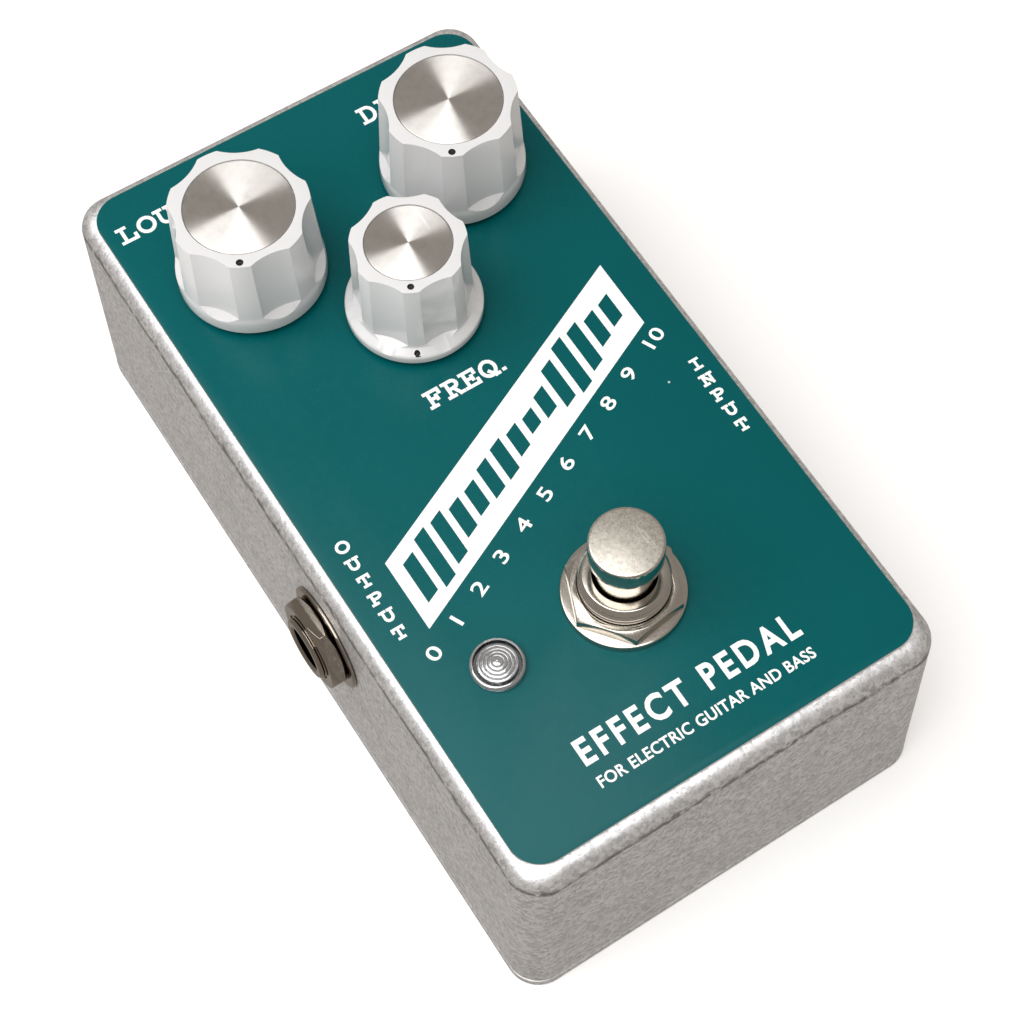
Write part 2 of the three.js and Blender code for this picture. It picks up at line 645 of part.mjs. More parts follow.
const inletNut = hexNut({ acrossFlats: 14, bore: INLET.barrel + FIT, low: -WALL - 2.2, high: -WALL - 0.15 });
add('power_inlet_body', onRearWall(inletBody()), LOOK.blackPlastic);
add('power_inlet_pin', onRearWall(inletPin()), LOOK.nickel);
add('power_inlet_nut', onRearWall(inletNut), LOOK.nickel);

// ---------------------------------------------------------------- circuit board and wiring

function circuitBoard() {
  return block([BOARD.left, BOARD.front, BOARD.bottom], [BOARD.right, BOARD.rear, BOARD.top]);
}

function amplifierChip() {
  const top = BOARD.bottom - FIT;
  const pieces = [block([-4.8, -3.2, top - 3.8], [4.8, 3.2, top - 0.5])];
  for (const x of [-3.81, -1.27, 1.27, 3.81]) {
    for (const y of [-3.8, 3.8]) {
      const inner = y - Math.sign(y);
      pieces.push(block([x - 0.3, Math.min(y, inner), top - 2.2], [x + 0.3, Math.max(y, inner), top]));
    }
  }
  return build(pieces);
}

function drumCapacitor(radius, height) {
  const top = BOARD.bottom - FIT;
  return lathe([
    [0, top - height], [radius - 0.3, top - height], [radius, top - height + 0.3], [radius, top - 1.8],
    [radius - 0.3, top - 1.4], [radius, top - 1], [radius, top], [0, top],
  ], 16);
}

function filmCapacitor() {
  return block([-3.6, -1.5, BOARD.bottom - 6.6], [3.6, 1.5, BOARD.bottom - FIT]);
}

add('circuit_board', circuitBoard(), LOOK.boardGreen);
add('amplifier_chip', amplifierChip().translate(-9, 20, 0), LOOK.blackPlastic);
add('drum_capacitor', drumCapacitor(3.2, 8).translate(11, 22, 0), LOOK.blackPlastic);
add('film_capacitor', filmCapacitor().translate(-12, 33, 0), LOOK.redWire);

const terminalLevel = SWITCH_BODY_BOTTOM - FIT - 5;
const WIRES = [
  ['output_wire', LOOK.yellowWire, [
    [-25.2, -1.6, 19.2], [-22, 0.5, 15], [-15, -10, 11], [-8, -24, 12], [-4.6, -31.6, terminalLevel - 0.4],
  ]],
  ['input_wire', LOOK.greenWire, [
    [25.2, -18.4, 15], [22, -20, 13], [16, -23, 11], [9, -28, 12], [5.4, -31.6, terminalLevel - 0.4],
  ]],
  ['lamp_wire', LOOK.redWire, [
    [-19.2, -31.5, 24.6], [-18.5, -26, 14], [-17, -10, 9], [-16, 4, 14], [-16, 9, BOARD.bottom - 0.4],
  ]],
  ['power_wire', LOOK.redWire, [
    [4, 45.2, 13.6], [5, 43, 12], [8, 39, 14], [10, 36, 19], [10.5, 34.5, BOARD.bottom - 0.4],
  ]],
];
WIRES.forEach(([name, look, route]) => add(name, wire(route, 0.6, 16), look));

export default pedal;
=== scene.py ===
# %% [markdown]
# # A guitar effects pedal, piece by piece
#
# A die-cast box with a painted face plate carries three white knobs, a foot switch, a lamp and
# three sockets. The box of each working piece is already fixed by an engineering model, so
# every lesson below starts from that box and gives the piece the shape and the finish that a
# hand would feel. Sizes are written in millimetres and turned into metres in one place.

# %% Load the frame and keep its box
import json
import math

import bpy
from mathutils import Matrix, Vector


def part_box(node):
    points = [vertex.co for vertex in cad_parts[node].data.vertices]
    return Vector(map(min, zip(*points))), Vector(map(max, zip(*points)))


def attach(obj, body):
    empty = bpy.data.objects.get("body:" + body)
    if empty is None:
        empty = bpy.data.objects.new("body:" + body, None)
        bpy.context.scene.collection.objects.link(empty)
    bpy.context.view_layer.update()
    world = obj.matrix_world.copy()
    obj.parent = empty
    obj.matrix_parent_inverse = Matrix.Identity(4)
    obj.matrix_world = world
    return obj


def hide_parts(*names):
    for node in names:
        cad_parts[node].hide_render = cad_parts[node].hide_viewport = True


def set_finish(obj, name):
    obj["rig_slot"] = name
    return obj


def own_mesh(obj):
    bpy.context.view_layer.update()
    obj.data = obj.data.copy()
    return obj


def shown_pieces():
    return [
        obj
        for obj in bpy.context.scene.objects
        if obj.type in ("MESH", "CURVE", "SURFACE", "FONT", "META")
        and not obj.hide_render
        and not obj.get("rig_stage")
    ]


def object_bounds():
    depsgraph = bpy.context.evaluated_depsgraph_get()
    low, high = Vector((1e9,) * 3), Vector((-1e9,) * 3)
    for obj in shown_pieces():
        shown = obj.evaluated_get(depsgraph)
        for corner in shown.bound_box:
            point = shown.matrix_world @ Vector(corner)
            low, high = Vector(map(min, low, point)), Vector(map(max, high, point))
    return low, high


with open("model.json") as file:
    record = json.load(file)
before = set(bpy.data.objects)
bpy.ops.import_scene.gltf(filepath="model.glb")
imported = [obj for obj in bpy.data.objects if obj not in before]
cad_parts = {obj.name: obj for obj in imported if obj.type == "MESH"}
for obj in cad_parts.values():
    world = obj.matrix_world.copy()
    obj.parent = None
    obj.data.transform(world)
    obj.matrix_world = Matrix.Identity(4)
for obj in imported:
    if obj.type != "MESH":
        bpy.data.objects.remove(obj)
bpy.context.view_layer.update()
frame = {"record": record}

MM = 0.001


def span(node):
    """Lowest corner, highest corner and middle of an engineering node, in millimetres."""
    low, high = (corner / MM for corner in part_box(node))
    return low, high, (low + high) / 2


# %% [markdown]
# ## The camera
#
# A camera can be placed by its location and Euler angles, but a picture taken by hand is
# easier to describe as a photographer would: the point aimed at, how far away the camera is,
# which way it faces, how steeply it looks down, and how much it leans. The matrix is put
# together from these. A small shift stands for a picture that was cropped off centre.

# %% Camera
AIM = Vector((7.91, -22.32, 20.0)) * MM
DISTANCE = 307.9 * MM
HEADING, LOOK_DOWN, LEAN = (math.radians(angle) for angle in (37.14, 64.9, 3.96))

ahead = Vector((math.sin(HEADING) * math.cos(LOOK_DOWN), math.cos(HEADING) * math.cos(LOOK_DOWN),
                -math.sin(LOOK_DOWN)))
level = ahead.cross(Vector((0, 0, 1))).normalized()
upright = level.cross(ahead)
right = level * math.cos(LEAN) + upright * math.sin(LEAN)
above = upright * math.cos(LEAN) - level * math.sin(LEAN)

bpy.ops.object.camera_add()
camera = bpy.context.object
camera.name = "studio_camera"
camera.matrix_world = Matrix.Translation(AIM - ahead * DISTANCE) @ Matrix(
    (right, above, -ahead)).transposed().to_4x4()
camera.data.lens = 78.16
camera.data.shift_x = -0.1131
camera.data.shift_y = 0.0615
camera.data.clip_start = 0.02
camera.data.clip_end = 20
bpy.context.scene.camera = camera
print("camera at", [round(value, 3) for value in camera.matrix_world.translation])

# %% [markdown]
# ## Working habits
#
# Operators act on whatever is selected, so each step first lets go of everything, takes hold
# of one piece, and chooses faces or edges by where they are. A few helpers say this once:
# `hold` takes a piece, `choose` opens it with only some parts selected, `modify` adds a
# modifier and applies it, and `carve` subtracts cutting tools and throws them away.

# %% Helpers for one piece at a time
def let_go():
    if bpy.context.object and bpy.context.object.mode != "OBJECT":
        bpy.ops.object.mode_set(mode="OBJECT")
    bpy.ops.object.select_all(action="DESELECT")


def hold(piece):
    let_go()
    piece.select_set(True)
    bpy.context.view_layer.objects.active = piece
    return piece


def named(name):
    piece = bpy.context.object
    piece.name = piece.data.name = name
    return piece


def set_down(piece, place=Matrix.Identity(4)):
    """Moves a piece by a matrix and writes its place into the mesh."""
    hold(piece)
    piece.matrix_world = place @ piece.matrix_world
    bpy.ops.object.transform_apply(location=True, rotation=True, scale=True)
    return piece


def choose(piece, kind, test):
    """Edit mode with only the faces (centre, normal) or edges (end, end) that pass the test."""
    hold(piece)
    bpy.ops.object.mode_set(mode="EDIT")
    bpy.ops.mesh.select_mode(type=kind)
    bpy.ops.mesh.select_all(action="DESELECT")
    bpy.ops.object.mode_set(mode="OBJECT")
    mesh = piece.data
    if kind == "FACE":
        for face in mesh.polygons:
            face.select = bool(test(face.center / MM, face.normal))
    else:
        for edge in mesh.edges:
            edge.select = bool(test(*(mesh.vertices[i].co / MM for i in edge.vertices)))
    bpy.ops.object.mode_set(mode="EDIT")


def modify(piece, kind, **settings):
    hold(piece)
    bpy.ops.object.modifier_add(type=kind)
    modifier = piece.modifiers[-1]
    for setting, value in settings.items():
        setattr(modifier, setting, value)
    bpy.ops.object.modifier_apply(modifier=modifier.name)
    return piece


def carve(piece, *tools, operation="DIFFERENCE"):
    for tool in tools:
        modify(piece, "BOOLEAN", operation=operation, solver="EXACT", object=tool)
        bpy.data.objects.remove(tool)
    return piece


def ease_edges(piece, width, angle=32, segments=3):
    """Breaks every edge sharper than the angle, as moulding and tumbling do."""
    modify(piece, "WELD", merge_threshold=0.002 * MM)
    return modify(piece, "BEVEL", width=width * MM, segments=segments, limit_method="ANGLE",
                  angle_limit=math.radians(angle), use_clamp_overlap=True)


def finish_surface(piece, angle=35):
    hold(piece)
    bpy.ops.object.mode_set(mode="EDIT")
    bpy.ops.mesh.select_all(action="SELECT")
    bpy.ops.mesh.remove_doubles(threshold=0.002 * MM)
    bpy.ops.mesh.delete_loose()
    bpy.ops.object.mode_set(mode="OBJECT")
    bpy.ops.object.shade_smooth_by_angle(angle=math.radians(angle))
    return piece


def copied(piece, name, place):
    hold(piece)
    bpy.ops.object.duplicate(linked=False)
    return set_down(named(name), place)


def belongs(piece, body, slot, *nodes):
    """Says which body carries a piece, which finish it has and which nodes it stands for."""
    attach(piece, body)
    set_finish(piece, slot)
    if nodes:
        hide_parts(*nodes)
    print(f"{piece.name}: {len(piece.data.polygons)} faces, rides on {body}")
    return piece


# %% [markdown]
# Two primitives start nearly everything here. `block` is a cube between two corners.
# `turned` is a lathe: one vertex is pulled out into half of a cross-section and spun about
# the Z axis. Corners of that section may name a third number, their ease, and `eased` rounds
# them before turning, so that no rim on the finished piece is a knife edge.

# %% Helpers that start a piece
def block(name, low, high):
    low, high = Vector(low) * MM, Vector(high) * MM
    let_go()
    bpy.ops.mesh.primitive_cube_add(size=1, location=(low + high) / 2)
    piece = named(name)
    piece.scale = high - low
    return set_down(piece)


def eased(section, steps=4):
    points = []
    for i, (radius, height, *ease) in enumerate(section):
        corner = Vector((radius, height))
        if not ease:
            points.append(corner)
            continue
        before = Vector(section[i - 1][:2])
        after = Vector(section[(i + 1) % len(section)][:2])
        start = corner + (before - corner).normalized() * ease[0]
        end = corner + (after - corner).normalized() * ease[0]
        for step in range(steps + 1):
            t = step / steps
            points.append(start * (1 - t) ** 2 + corner * 2 * t * (1 - t) + end * t * t)
    return points


def turned(name, section, steps=96):
    """A solid of revolution about Z from (radius, height) corners."""
    let_go()
    bpy.ops.mesh.primitive_plane_add(size=MM)
    piece = named(name)
    bpy.ops.object.mode_set(mode="EDIT")
    bpy.ops.mesh.select_mode(type="VERT")
    bpy.ops.mesh.merge(type="CENTER")
    last = Vector((0, 0, 0))
    for number, (radius, height) in enumerate(eased(section)):
        point = Vector((radius, 0, height)) * MM
        if number:
            bpy.ops.mesh.extrude_region_move(TRANSFORM_OT_translate={"value": point - last})
        else:
            bpy.ops.transform.translate(value=point)
        last = point
    bpy.ops.mesh.select_all(action="SELECT")
    bpy.ops.mesh.spin(steps=steps, angle=math.tau, center=(0, 0, 0), axis=(0, 0, 1))
    bpy.ops.mesh.select_all(action="SELECT")
    bpy.ops.mesh.remove_doubles(threshold=0.001 * MM)
    bpy.ops.mesh.normals_make_consistent(inside=False)
    bpy.ops.object.mode_set(mode="OBJECT")
    return piece


def rod(name, radius, low, high, steps=64):
    """A plain cylinder, used as a cutting tool."""
    return turned(name, [(0, low), (radius, low), (radius, high), (0, high)], steps)


def at(x, y, z=0.0):
    return Matrix.Translation(Vector((x, y, z)) * MM)


# %% [markdown]
# ## The die-cast shell
#
# The shell is a thin-walled casting. Its walls lean in towards the top so that it leaves the
# mould, its upright corners and its top edge are rounded, and the underside is open. It could
# be lofted from outlines, but a cube shows the steps of the real mould better: shrink the
# top, bevel the four corners, bevel the rim, open the bottom and give the skin a thickness.
# Then the holes are drilled and the four screw pillars are added inside.

# %% Shell: outer form
shell_low, shell_high, _ = span("enclosure_shell")
WALL, CORNER, RIM_ROUND = 2.2, 4.6, 2.6
LEAN_PER_MM = 1.2 / 39.3

shell = block("casing_shell", shell_low, shell_high)
lean = LEAN_PER_MM * (shell_high.z - shell_low.z)
choose(shell, "FACE", lambda centre, normal: normal.z > 0.9)
bpy.ops.transform.resize(value=(1 - lean / shell_high.x, 1 - lean / shell_high.y, 1))
choose(shell, "EDGE", lambda a, b: abs(a.z - b.z) > 20)
bpy.ops.mesh.bevel(offset=CORNER * MM, segments=12, affect="EDGES")
choose(shell, "EDGE", lambda a, b: min(a.z, b.z) > shell_high.z - 0.01)
bpy.ops.mesh.bevel(offset=RIM_ROUND * MM, segments=10, affect="EDGES")
choose(shell, "EDGE", lambda a, b: max(a.z, b.z) < shell_low.z + 0.01)
bpy.ops.mesh.bevel(offset=0.35 * MM, segments=3, affect="EDGES")
choose(shell, "FACE", lambda centre, normal: normal.z < -0.95)
bpy.ops.mesh.delete(type="FACE")
modify(shell, "SOLIDIFY", thickness=WALL * MM, offset=-1, use_even_offset=True)
print("shell skin:", len(shell.data.polygons), "faces")

# %% Shell: pillars and holes
pillar_places = [span(f"base_screw_{number}")[2] for number in (1, 2, 3, 4)]
ceiling = shell_high.z - WALL
for number, place in enumerate(pillar_places):
    section = [(0, 3.8), (1.25, 3.8), (1.25, 15.0), (0.3, 15.6), (0, 15.6)]
    pillar = set_down(rod(f"pillar_{number}", 3.9, 3.8, ceiling + 0.5, 32), at(place.x, place.y))
    carve(shell, pillar, operation="UNION")
    carve(shell, set_down(turned("screw_bore", section, 24), at(place.x, place.y, -0.1)))

CONTROLS = ["loudness", "drive", "tone"]
axis_of = {name: span(f"{name}_shaft")[2] for name in CONTROLS}
switch_axis = span("footswitch_button")[2]
lamp_axis = span("lamp_lens")[2]
for centre, radius in [*((axis_of[name], 3.7) for name in CONTROLS), (switch_axis, 6.2),
                       (lamp_axis, 3.05)]:
    carve(shell, set_down(rod("drill", radius, 30, 50), at(centre.x, centre.y)))
print("shell with holes:", len(shell.data.polygons), "faces")

# %% [markdown]
# The jacks and the power inlet sit square to walls that lean a little. Each of them is
# turned about Z first, with the outside of its wall at height zero, and then laid against the
# wall by one matrix, so the lean is worked out once for the holes and for the hardware.

# %% Shell: side and rear holes
JACK_Y, INLET_Z = -10.0, 14.0
JACK_HEIGHT = {-1: 25.0, 1: 20.8}
TILT = math.atan(LEAN_PER_MM)
BOX_HALF_WIDTH, BOX_HALF_LENGTH = 33.0, 60.5


def on_side(side):
    """Lays a piece that was turned about Z on the left (-1) or right (+1) wall."""
    x = side * (BOX_HALF_WIDTH - LEAN_PER_MM * JACK_HEIGHT[side])
    lay = Matrix.Rotation(side * (math.pi / 2 - TILT), 4, "Y")
    face_about = Matrix.Rotation(math.pi if side > 0 else 0, 4, "Z")
    return at(x, JACK_Y, JACK_HEIGHT[side]) @ lay @ face_about


rear_wall = at(0, BOX_HALF_LENGTH - LEAN_PER_MM * INLET_Z, INLET_Z) @ Matrix.Rotation(
    TILT - math.pi / 2, 4, "X")
for place, radius in ((on_side(-1), 5.0), (on_side(1), 5.0), (rear_wall, 6.1)):
    carve(shell, set_down(rod("drill", radius, -6, 4), place))
finish_surface(shell, 30)
belongs(shell, "casing", "cast_aluminium", "enclosure_shell")

# %% [markdown]
# ## The face plate
#
# The face is a thin sheet of aluminium, punched to a rounded rectangle and painted on top.
# Its edge stays bare and catches the light, so the sheet needs a real thickness and a small
# break along its top edge. A cube with its four upright edges bevelled is enough, with the
# same holes as the casting below it.

# %% Face plate
plate_low, plate_high, _ = span("face_plate")
PLATE_CORNER = 4.4
plate = block("painted_face", plate_low, plate_high)
choose(plate, "EDGE", lambda a, b: abs(a.z - b.z) > 0.5)
bpy.ops.mesh.bevel(offset=PLATE_CORNER * MM, segments=16, affect="EDGES")
choose(plate, "EDGE", lambda a, b: min(a.z, b.z) > plate_high.z - 0.01)
bpy.ops.mesh.bevel(offset=0.14 * MM, segments=2, affect="EDGES")
for centre, radius in [*((axis_of[name], 3.7) for name in CONTROLS), (switch_axis, 6.2),
                       (lamp_axis, 3.05)]:
    carve(plate, set_down(rod("punch", radius, 38, 42), at(centre.x, centre.y)))
finish_surface(plate, 30)
belongs(plate, "casing", "face_paint", "face_plate")

# %% [markdown]
# ## The base plate and its screws
#
# The underside is a flat casting with a low inner rim that finds its place inside the walls,
# and four countersunk holes. The countersinks and the cross recesses of the screws are cut
# with tools shaped like the real ones: a cone for the sink and a tapered cross for the driver.

# %% Base plate
base_low, base_high, _ = span("base_plate")
BASE_THICKNESS, SINK_RADIUS = 1.6, 3.0
base = block("base_panel", base_low, (base_high.x, base_high.y, BASE_THICKNESS))
choose(base, "EDGE", lambda a, b: abs(a.z - b.z) > 1)
bpy.ops.mesh.bevel(offset=CORNER * MM, segments=12, affect="EDGES")
choose(base, "EDGE", lambda a, b: abs(a.z - b.z) < 0.01)
bpy.ops.mesh.bevel(offset=0.3 * MM, segments=3, affect="EDGES")
RIM_OUTER, RIM_WIDTH, RIM_TOP = (30.5, 58.0), 1.2, base_high.z
frames = []
for inset in (0, RIM_WIDTH):
    x, y = RIM_OUTER[0] - inset, RIM_OUTER[1] - inset
    low_z, high_z = BASE_THICKNESS - 0.4 + inset * 0.3, RIM_TOP + inset
    frames.append(block("rim", (-x, -y, low_z), (x, y, high_z)))
    choose(frames[-1], "EDGE", lambda a, b: abs(a.z - b.z) > 1)
    bpy.ops.mesh.bevel(offset=(2.6 - inset) * MM, segments=6, affect="EDGES")
    let_go()
carve(frames[0], frames[1])
carve(base, frames[0], operation="UNION")
for place in pillar_places:
    sink = [(0, -1), (SINK_RADIUS, -1), (SINK_RADIUS, 0.05), (1.7, 1.45), (1.7, 2.4), (0, 2.4)]
    carve(base, set_down(turned("sink", sink, 40), at(place.x, place.y)),
          set_down(rod("relief", 4.2, BASE_THICKNESS, 5, 40), at(place.x, place.y)))
finish_surface(base, 30)
belongs(base, "casing", "base_aluminium", "base_plate")

# %% Screws
HEAD_RADIUS, SHANK_RADIUS, SCREW_LENGTH, SCREW_LOW = 2.8, 1.5, 11.0, 0.08
section = [(0, SCREW_LOW), (HEAD_RADIUS, SCREW_LOW, 0.12), (SHANK_RADIUS, 1.5, 0.2)]
pitch, depth = 0.7, 0.18
thread = [(SHANK_RADIUS - depth * (step % 2), 2.0 + pitch * step / 2) for step in range(24)]
section += thread + [(0.6, SCREW_LENGTH - 0.3), (0, SCREW_LENGTH)]
screw = turned("base_screw_master", section, 40)
for turn in (0, math.pi / 2):
    driver = block("driver_blade", (-1.45, -0.28, -1), (1.45, 0.28, 1.25))
    choose(driver, "FACE", lambda centre, normal: normal.z > 0.9)
    bpy.ops.transform.resize(value=(0.45, 0.6, 1))
    carve(screw, set_down(driver, Matrix.Rotation(turn, 4, "Z")))
finish_surface(screw, 30)
for number, place in enumerate(pillar_places, 1):
    piece = copied(screw, f"countersunk_screw_{number}",
                   at(place.x, place.y) @ Matrix.Rotation(number * 1.1, 4, "Z"))
    belongs(piece, "casing", "screw_steel", f"base_screw_{number}")
bpy.data.objects.remove(screw)

# %% [markdown]
# ## The knobs
#
# Each knob is moulded in white plastic: a cone with seven scooped grips, a recess in the top
# for a metal disc, a hollow underneath, and a small dimple as pointer. A real mould is made
# by turning the blank and then milling the grips, and the same order works here. The milling
# cutter is a large cylinder with a cone for its nose, tilted to follow the cone of the knob;
# where its nose leaves the blank it makes the lens-shaped ledge at the foot of each grip.

# %% Knob blanks, grips and dimples
POINTER = math.radians(-118.5)
knob_low, knob_high, _ = span("loudness_knob")
KNOB_BOTTOM, KNOB_TOP = knob_low.z, knob_high.z
GRIPS = 7
CUTTER_RADIUS = 8.0


def knob(name, blank, floor_low, floor_high, ledge, ledge_slope, recess, dimples):
    """blank is its section; the grips reach floor_low at the ledge and floor_high at the top."""
    hollow = KNOB_BOTTOM + 3.3
    piece = turned(name, blank, 168)
    lean = math.atan((floor_low - floor_high) / (KNOB_TOP - ledge))
    nose = CUTTER_RADIUS * math.tan(ledge_slope)
    cutter_section = [(0, ledge - nose), (CUTTER_RADIUS, ledge), (CUTTER_RADIUS, KNOB_TOP + 4),
                      (0, KNOB_TOP + 4)]
    for grip in range(GRIPS):
        angle = POINTER + (grip + 0.5) * math.tau / GRIPS
        cutter = set_down(turned("cutter", cutter_section, 160), at(0, 0, -ledge))
        set_down(cutter, Matrix.Rotation(-lean, 4, "Y"))
        set_down(cutter, Matrix.Rotation(angle, 4, "Z")
                 @ at(floor_low + CUTTER_RADIUS, 0, ledge))
        carve(piece, cutter)
    carve(piece, rod("hollow", 6.15, KNOB_BOTTOM - 1, hollow),
          rod("bore", 3.1, hollow - 1, KNOB_TOP - 2.6),
          rod("recess", recess, KNOB_TOP - 0.75, KNOB_TOP + 1, 128))
    screw_way = rod("screw_way", 1.6, 2.5, 12, 32)
    carve(piece, set_down(screw_way, Matrix.Rotation(POINTER, 4, "Z")
                          @ at(0, 0, KNOB_BOTTOM + 6.2) @ Matrix.Rotation(-math.pi / 2, 4, "Y")))
    choose(piece, "EDGE", lambda a, b: min(a.z, b.z) > KNOB_TOP - 0.01
           and min(a.xy.length, b.xy.length) > recess + 0.2)
    bpy.ops.mesh.bevel(offset=0.42 * MM, segments=4, affect="EDGES", clamp_overlap=True)
    ease_edges(piece, 0.16, angle=24)
    for reach, height, size in dimples:
        middle = Vector((reach * math.cos(POINTER), reach * math.sin(POINTER)))
        dish = [(0, -0.32), (size * 0.6, -0.28), (size, -0.05), (size, 1), (0, 1)]
        carve(piece, set_down(turned("dimple", dish, 28), at(*middle, height)))
    piece.data.materials.append(None)
    piece.data.materials.append(None)
    for reach, height, size in dimples:
        middle = Vector((reach * math.cos(POINTER), reach * math.sin(POINTER)))
        for face in piece.data.polygons:
            centre = face.center / MM
            inside = (centre.xy - middle).length < size + 0.01 and height - 0.5 < centre.z
            if inside and (centre.z < height - 0.01 or face.normal.z < 0.7):
                face.material_index = 1
    return finish_surface(piece, 26)


large_blank = [(0, KNOB_BOTTOM), (10.2, KNOB_BOTTOM, 0.15), (10.2, KNOB_BOTTOM + 2.1, 0.5),
               (10.0, KNOB_BOTTOM + 3.0, 0.3), (9.38, KNOB_TOP), (0, KNOB_TOP)]
large = knob("large_knob_master", large_blank, floor_low=9.05, floor_high=8.5,
             ledge=KNOB_BOTTOM + 3.55, ledge_slope=math.radians(46), recess=7.42,
             dimples=[(8.62, KNOB_TOP, 0.5)])
small_blank = [(0, KNOB_BOTTOM), (9.4, KNOB_BOTTOM, 0.15), (9.4, KNOB_BOTTOM + 1.25, 0.35),
               (8.15, KNOB_BOTTOM + 2.1, 0.25), (7.72, KNOB_TOP), (0, KNOB_TOP)]
small = knob("small_knob_master", small_blank, floor_low=7.35, floor_high=7.0,
             ledge=KNOB_BOTTOM + 2.65, ledge_slope=math.radians(34), recess=5.87,
             dimples=[(6.78, KNOB_TOP, 0.46), (8.85, KNOB_BOTTOM + 1.62, 0.42)])

knobs = {}
for name, master in (("loudness", large), ("drive", large), ("tone", small)):
    centre = axis_of[name]
    knobs[name] = copied(master, f"{name}_knob_moulding", at(centre.x, centre.y))
    belongs(knobs[name], f"{name}_control", "knob_plastic", f"{name}_knob")
for master in (large, small):
    bpy.data.objects.remove(master)

# %% [markdown]
# The disc in each knob is a thin spun aluminium blank, a hair lower than the plastic round
# it. Its look is nearly all in the material, but its edge needs a small break so that a thin
# bright circle separates it from the plastic.

# %% Spun discs
discs = {}
for name in CONTROLS:
    low, high, centre = span(f"{name}_knob_cap")
    radius = (high.x - low.x) / 2
    section = [(0, low.z), (radius, low.z, 0.05), (radius, high.z, 0.12), (0, high.z)]
    discs[name] = set_down(turned(f"{name}_spun_disc", section, 128), at(centre.x, centre.y))
    finish_surface(discs[name], 30)
    belongs(discs[name], f"{name}_control", "knob_aluminium", f"{name}_knob_cap")

# %% [markdown]
# ## The foot switch
#
# From the plate up: a flanged hexagon nut, the threaded bushing that comes through it, and a
# button with a mushroom head. The nut is a turned flange joined to a six-sided prism whose
# corners are turned down, which is done by keeping only what the prism shares with a turned
# blank. The thread is a row of small ridges in the bushing's section.

# %% Foot switch hardware
PLATE_TOP = plate_high.z
switch = at(switch_axis.x, switch_axis.y)


def hexagon(name, across_flats, low, high, corners_at):
    radius = across_flats / math.sqrt(3) * MM
    let_go()
    bpy.ops.mesh.primitive_cylinder_add(vertices=6, radius=radius, depth=(high - low) * MM,
                                        location=(0, 0, (low + high) / 2 * MM),
                                        rotation=(0, 0, corners_at - math.pi / 2))
    return set_down(named(name))


def nut(name, across_flats, low, high, corners_at, bore, chamfers=(0, 1), flange=None):
    piece = hexagon(name, across_flats, low, high, corners_at)
    flat, corner = across_flats / 2 - 0.08, across_flats / math.sqrt(3) + 0.05
    fall = (corner - flat) * math.tan(math.radians(32))
    section = [(0, low), (flat if chamfers[0] else corner, low), (corner, low + fall * chamfers[0]),
               (corner, high - fall * chamfers[1]), (flat if chamfers[1] else corner, high),
               (0, high)]
    carve(piece, turned("turned_blank", section, 120), operation="INTERSECT")
    if flange:
        carve(piece, turned("flange", flange, 128), operation="UNION")
    return carve(piece, rod("bore", bore, low - 2, high + 2, 96))


def ridges(radius, low, high, pitch, depth):
    """The section of a thread, as ridges one pitch apart."""
    count = int((high - low) / pitch)
    rows = []
    for i in range(count):
        foot = low + i * pitch
        rows += [(radius - depth, foot), (radius, foot + pitch * 0.4), (radius, foot + pitch * 0.6)]
    return rows + [(radius - depth, low + count * pitch)]


low, high, _ = span("footswitch_nut")
rim = [(0, low.z), (8.25, low.z, 0.1), (8.25, low.z + 1.02, 0.3), (0, low.z + 1.1)]
switch_nut = nut("switch_nut", 13.9, low.z + 0.9, high.z, math.radians(8), 6.1, flange=rim)
ease_edges(switch_nut, 0.13, angle=25)
set_down(switch_nut, switch)
finish_surface(switch_nut, 24)
belongs(switch_nut, "casing", "switch_nickel", "footswitch_nut")

low, high, _ = span("footswitch_bushing")
frame_top = low.z + 1.2
tube = [(4.15, frame_top - 0.4), (6.0, frame_top - 0.4), (6.0, PLATE_TOP)]
tube += ridges(6.0, PLATE_TOP + 0.2, high.z - 0.75, 0.75, 0.28)
tube += [(5.95, high.z - 0.6, 0.05), (5.45, high.z, 0.12), (4.25, high.z, 0.12),
         (4.15, high.z - 0.3), (4.15, frame_top - 0.4)]
bushing = turned("switch_bushing", tube, 96)
saddle = block("switch_frame", (-8.5, -8.5, low.z), (8.5, 8.5, frame_top))
ease_edges(saddle, 0.3)
carve(saddle, rod("bore", 4.15, low.z - 1, frame_top + 1))
carve(bushing, saddle, operation="UNION")
set_down(bushing, switch)
finish_surface(bushing, 30)
belongs(bushing, "casing", "switch_nickel", "footswitch_bushing")

low, high, _ = span("footswitch_button")
head_low = PLATE_TOP + 11.3
section = [(0, low.z), (4.0, low.z, 0.3), (4.0, head_low, 0.1), (4.85, head_low, 0.2),
           (4.85, high.z, 0.42), (0, high.z)]
button = set_down(turned("switch_button", section, 128), switch)
finish_surface(button, 35)
belongs(button, "footswitch_plunger", "switch_nickel", "footswitch_button")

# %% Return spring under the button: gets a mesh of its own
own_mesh(bpy.data.objects["footswitch_spring"])

# %% [markdown]
# ## The lamp lens
#
# The lens is a clear stepped disc: low rings inside one another spread the light of a small
# bulb. The rings are cut into the top of the section as saw teeth before it is turned, and
# the underside is hollowed for the bulb.

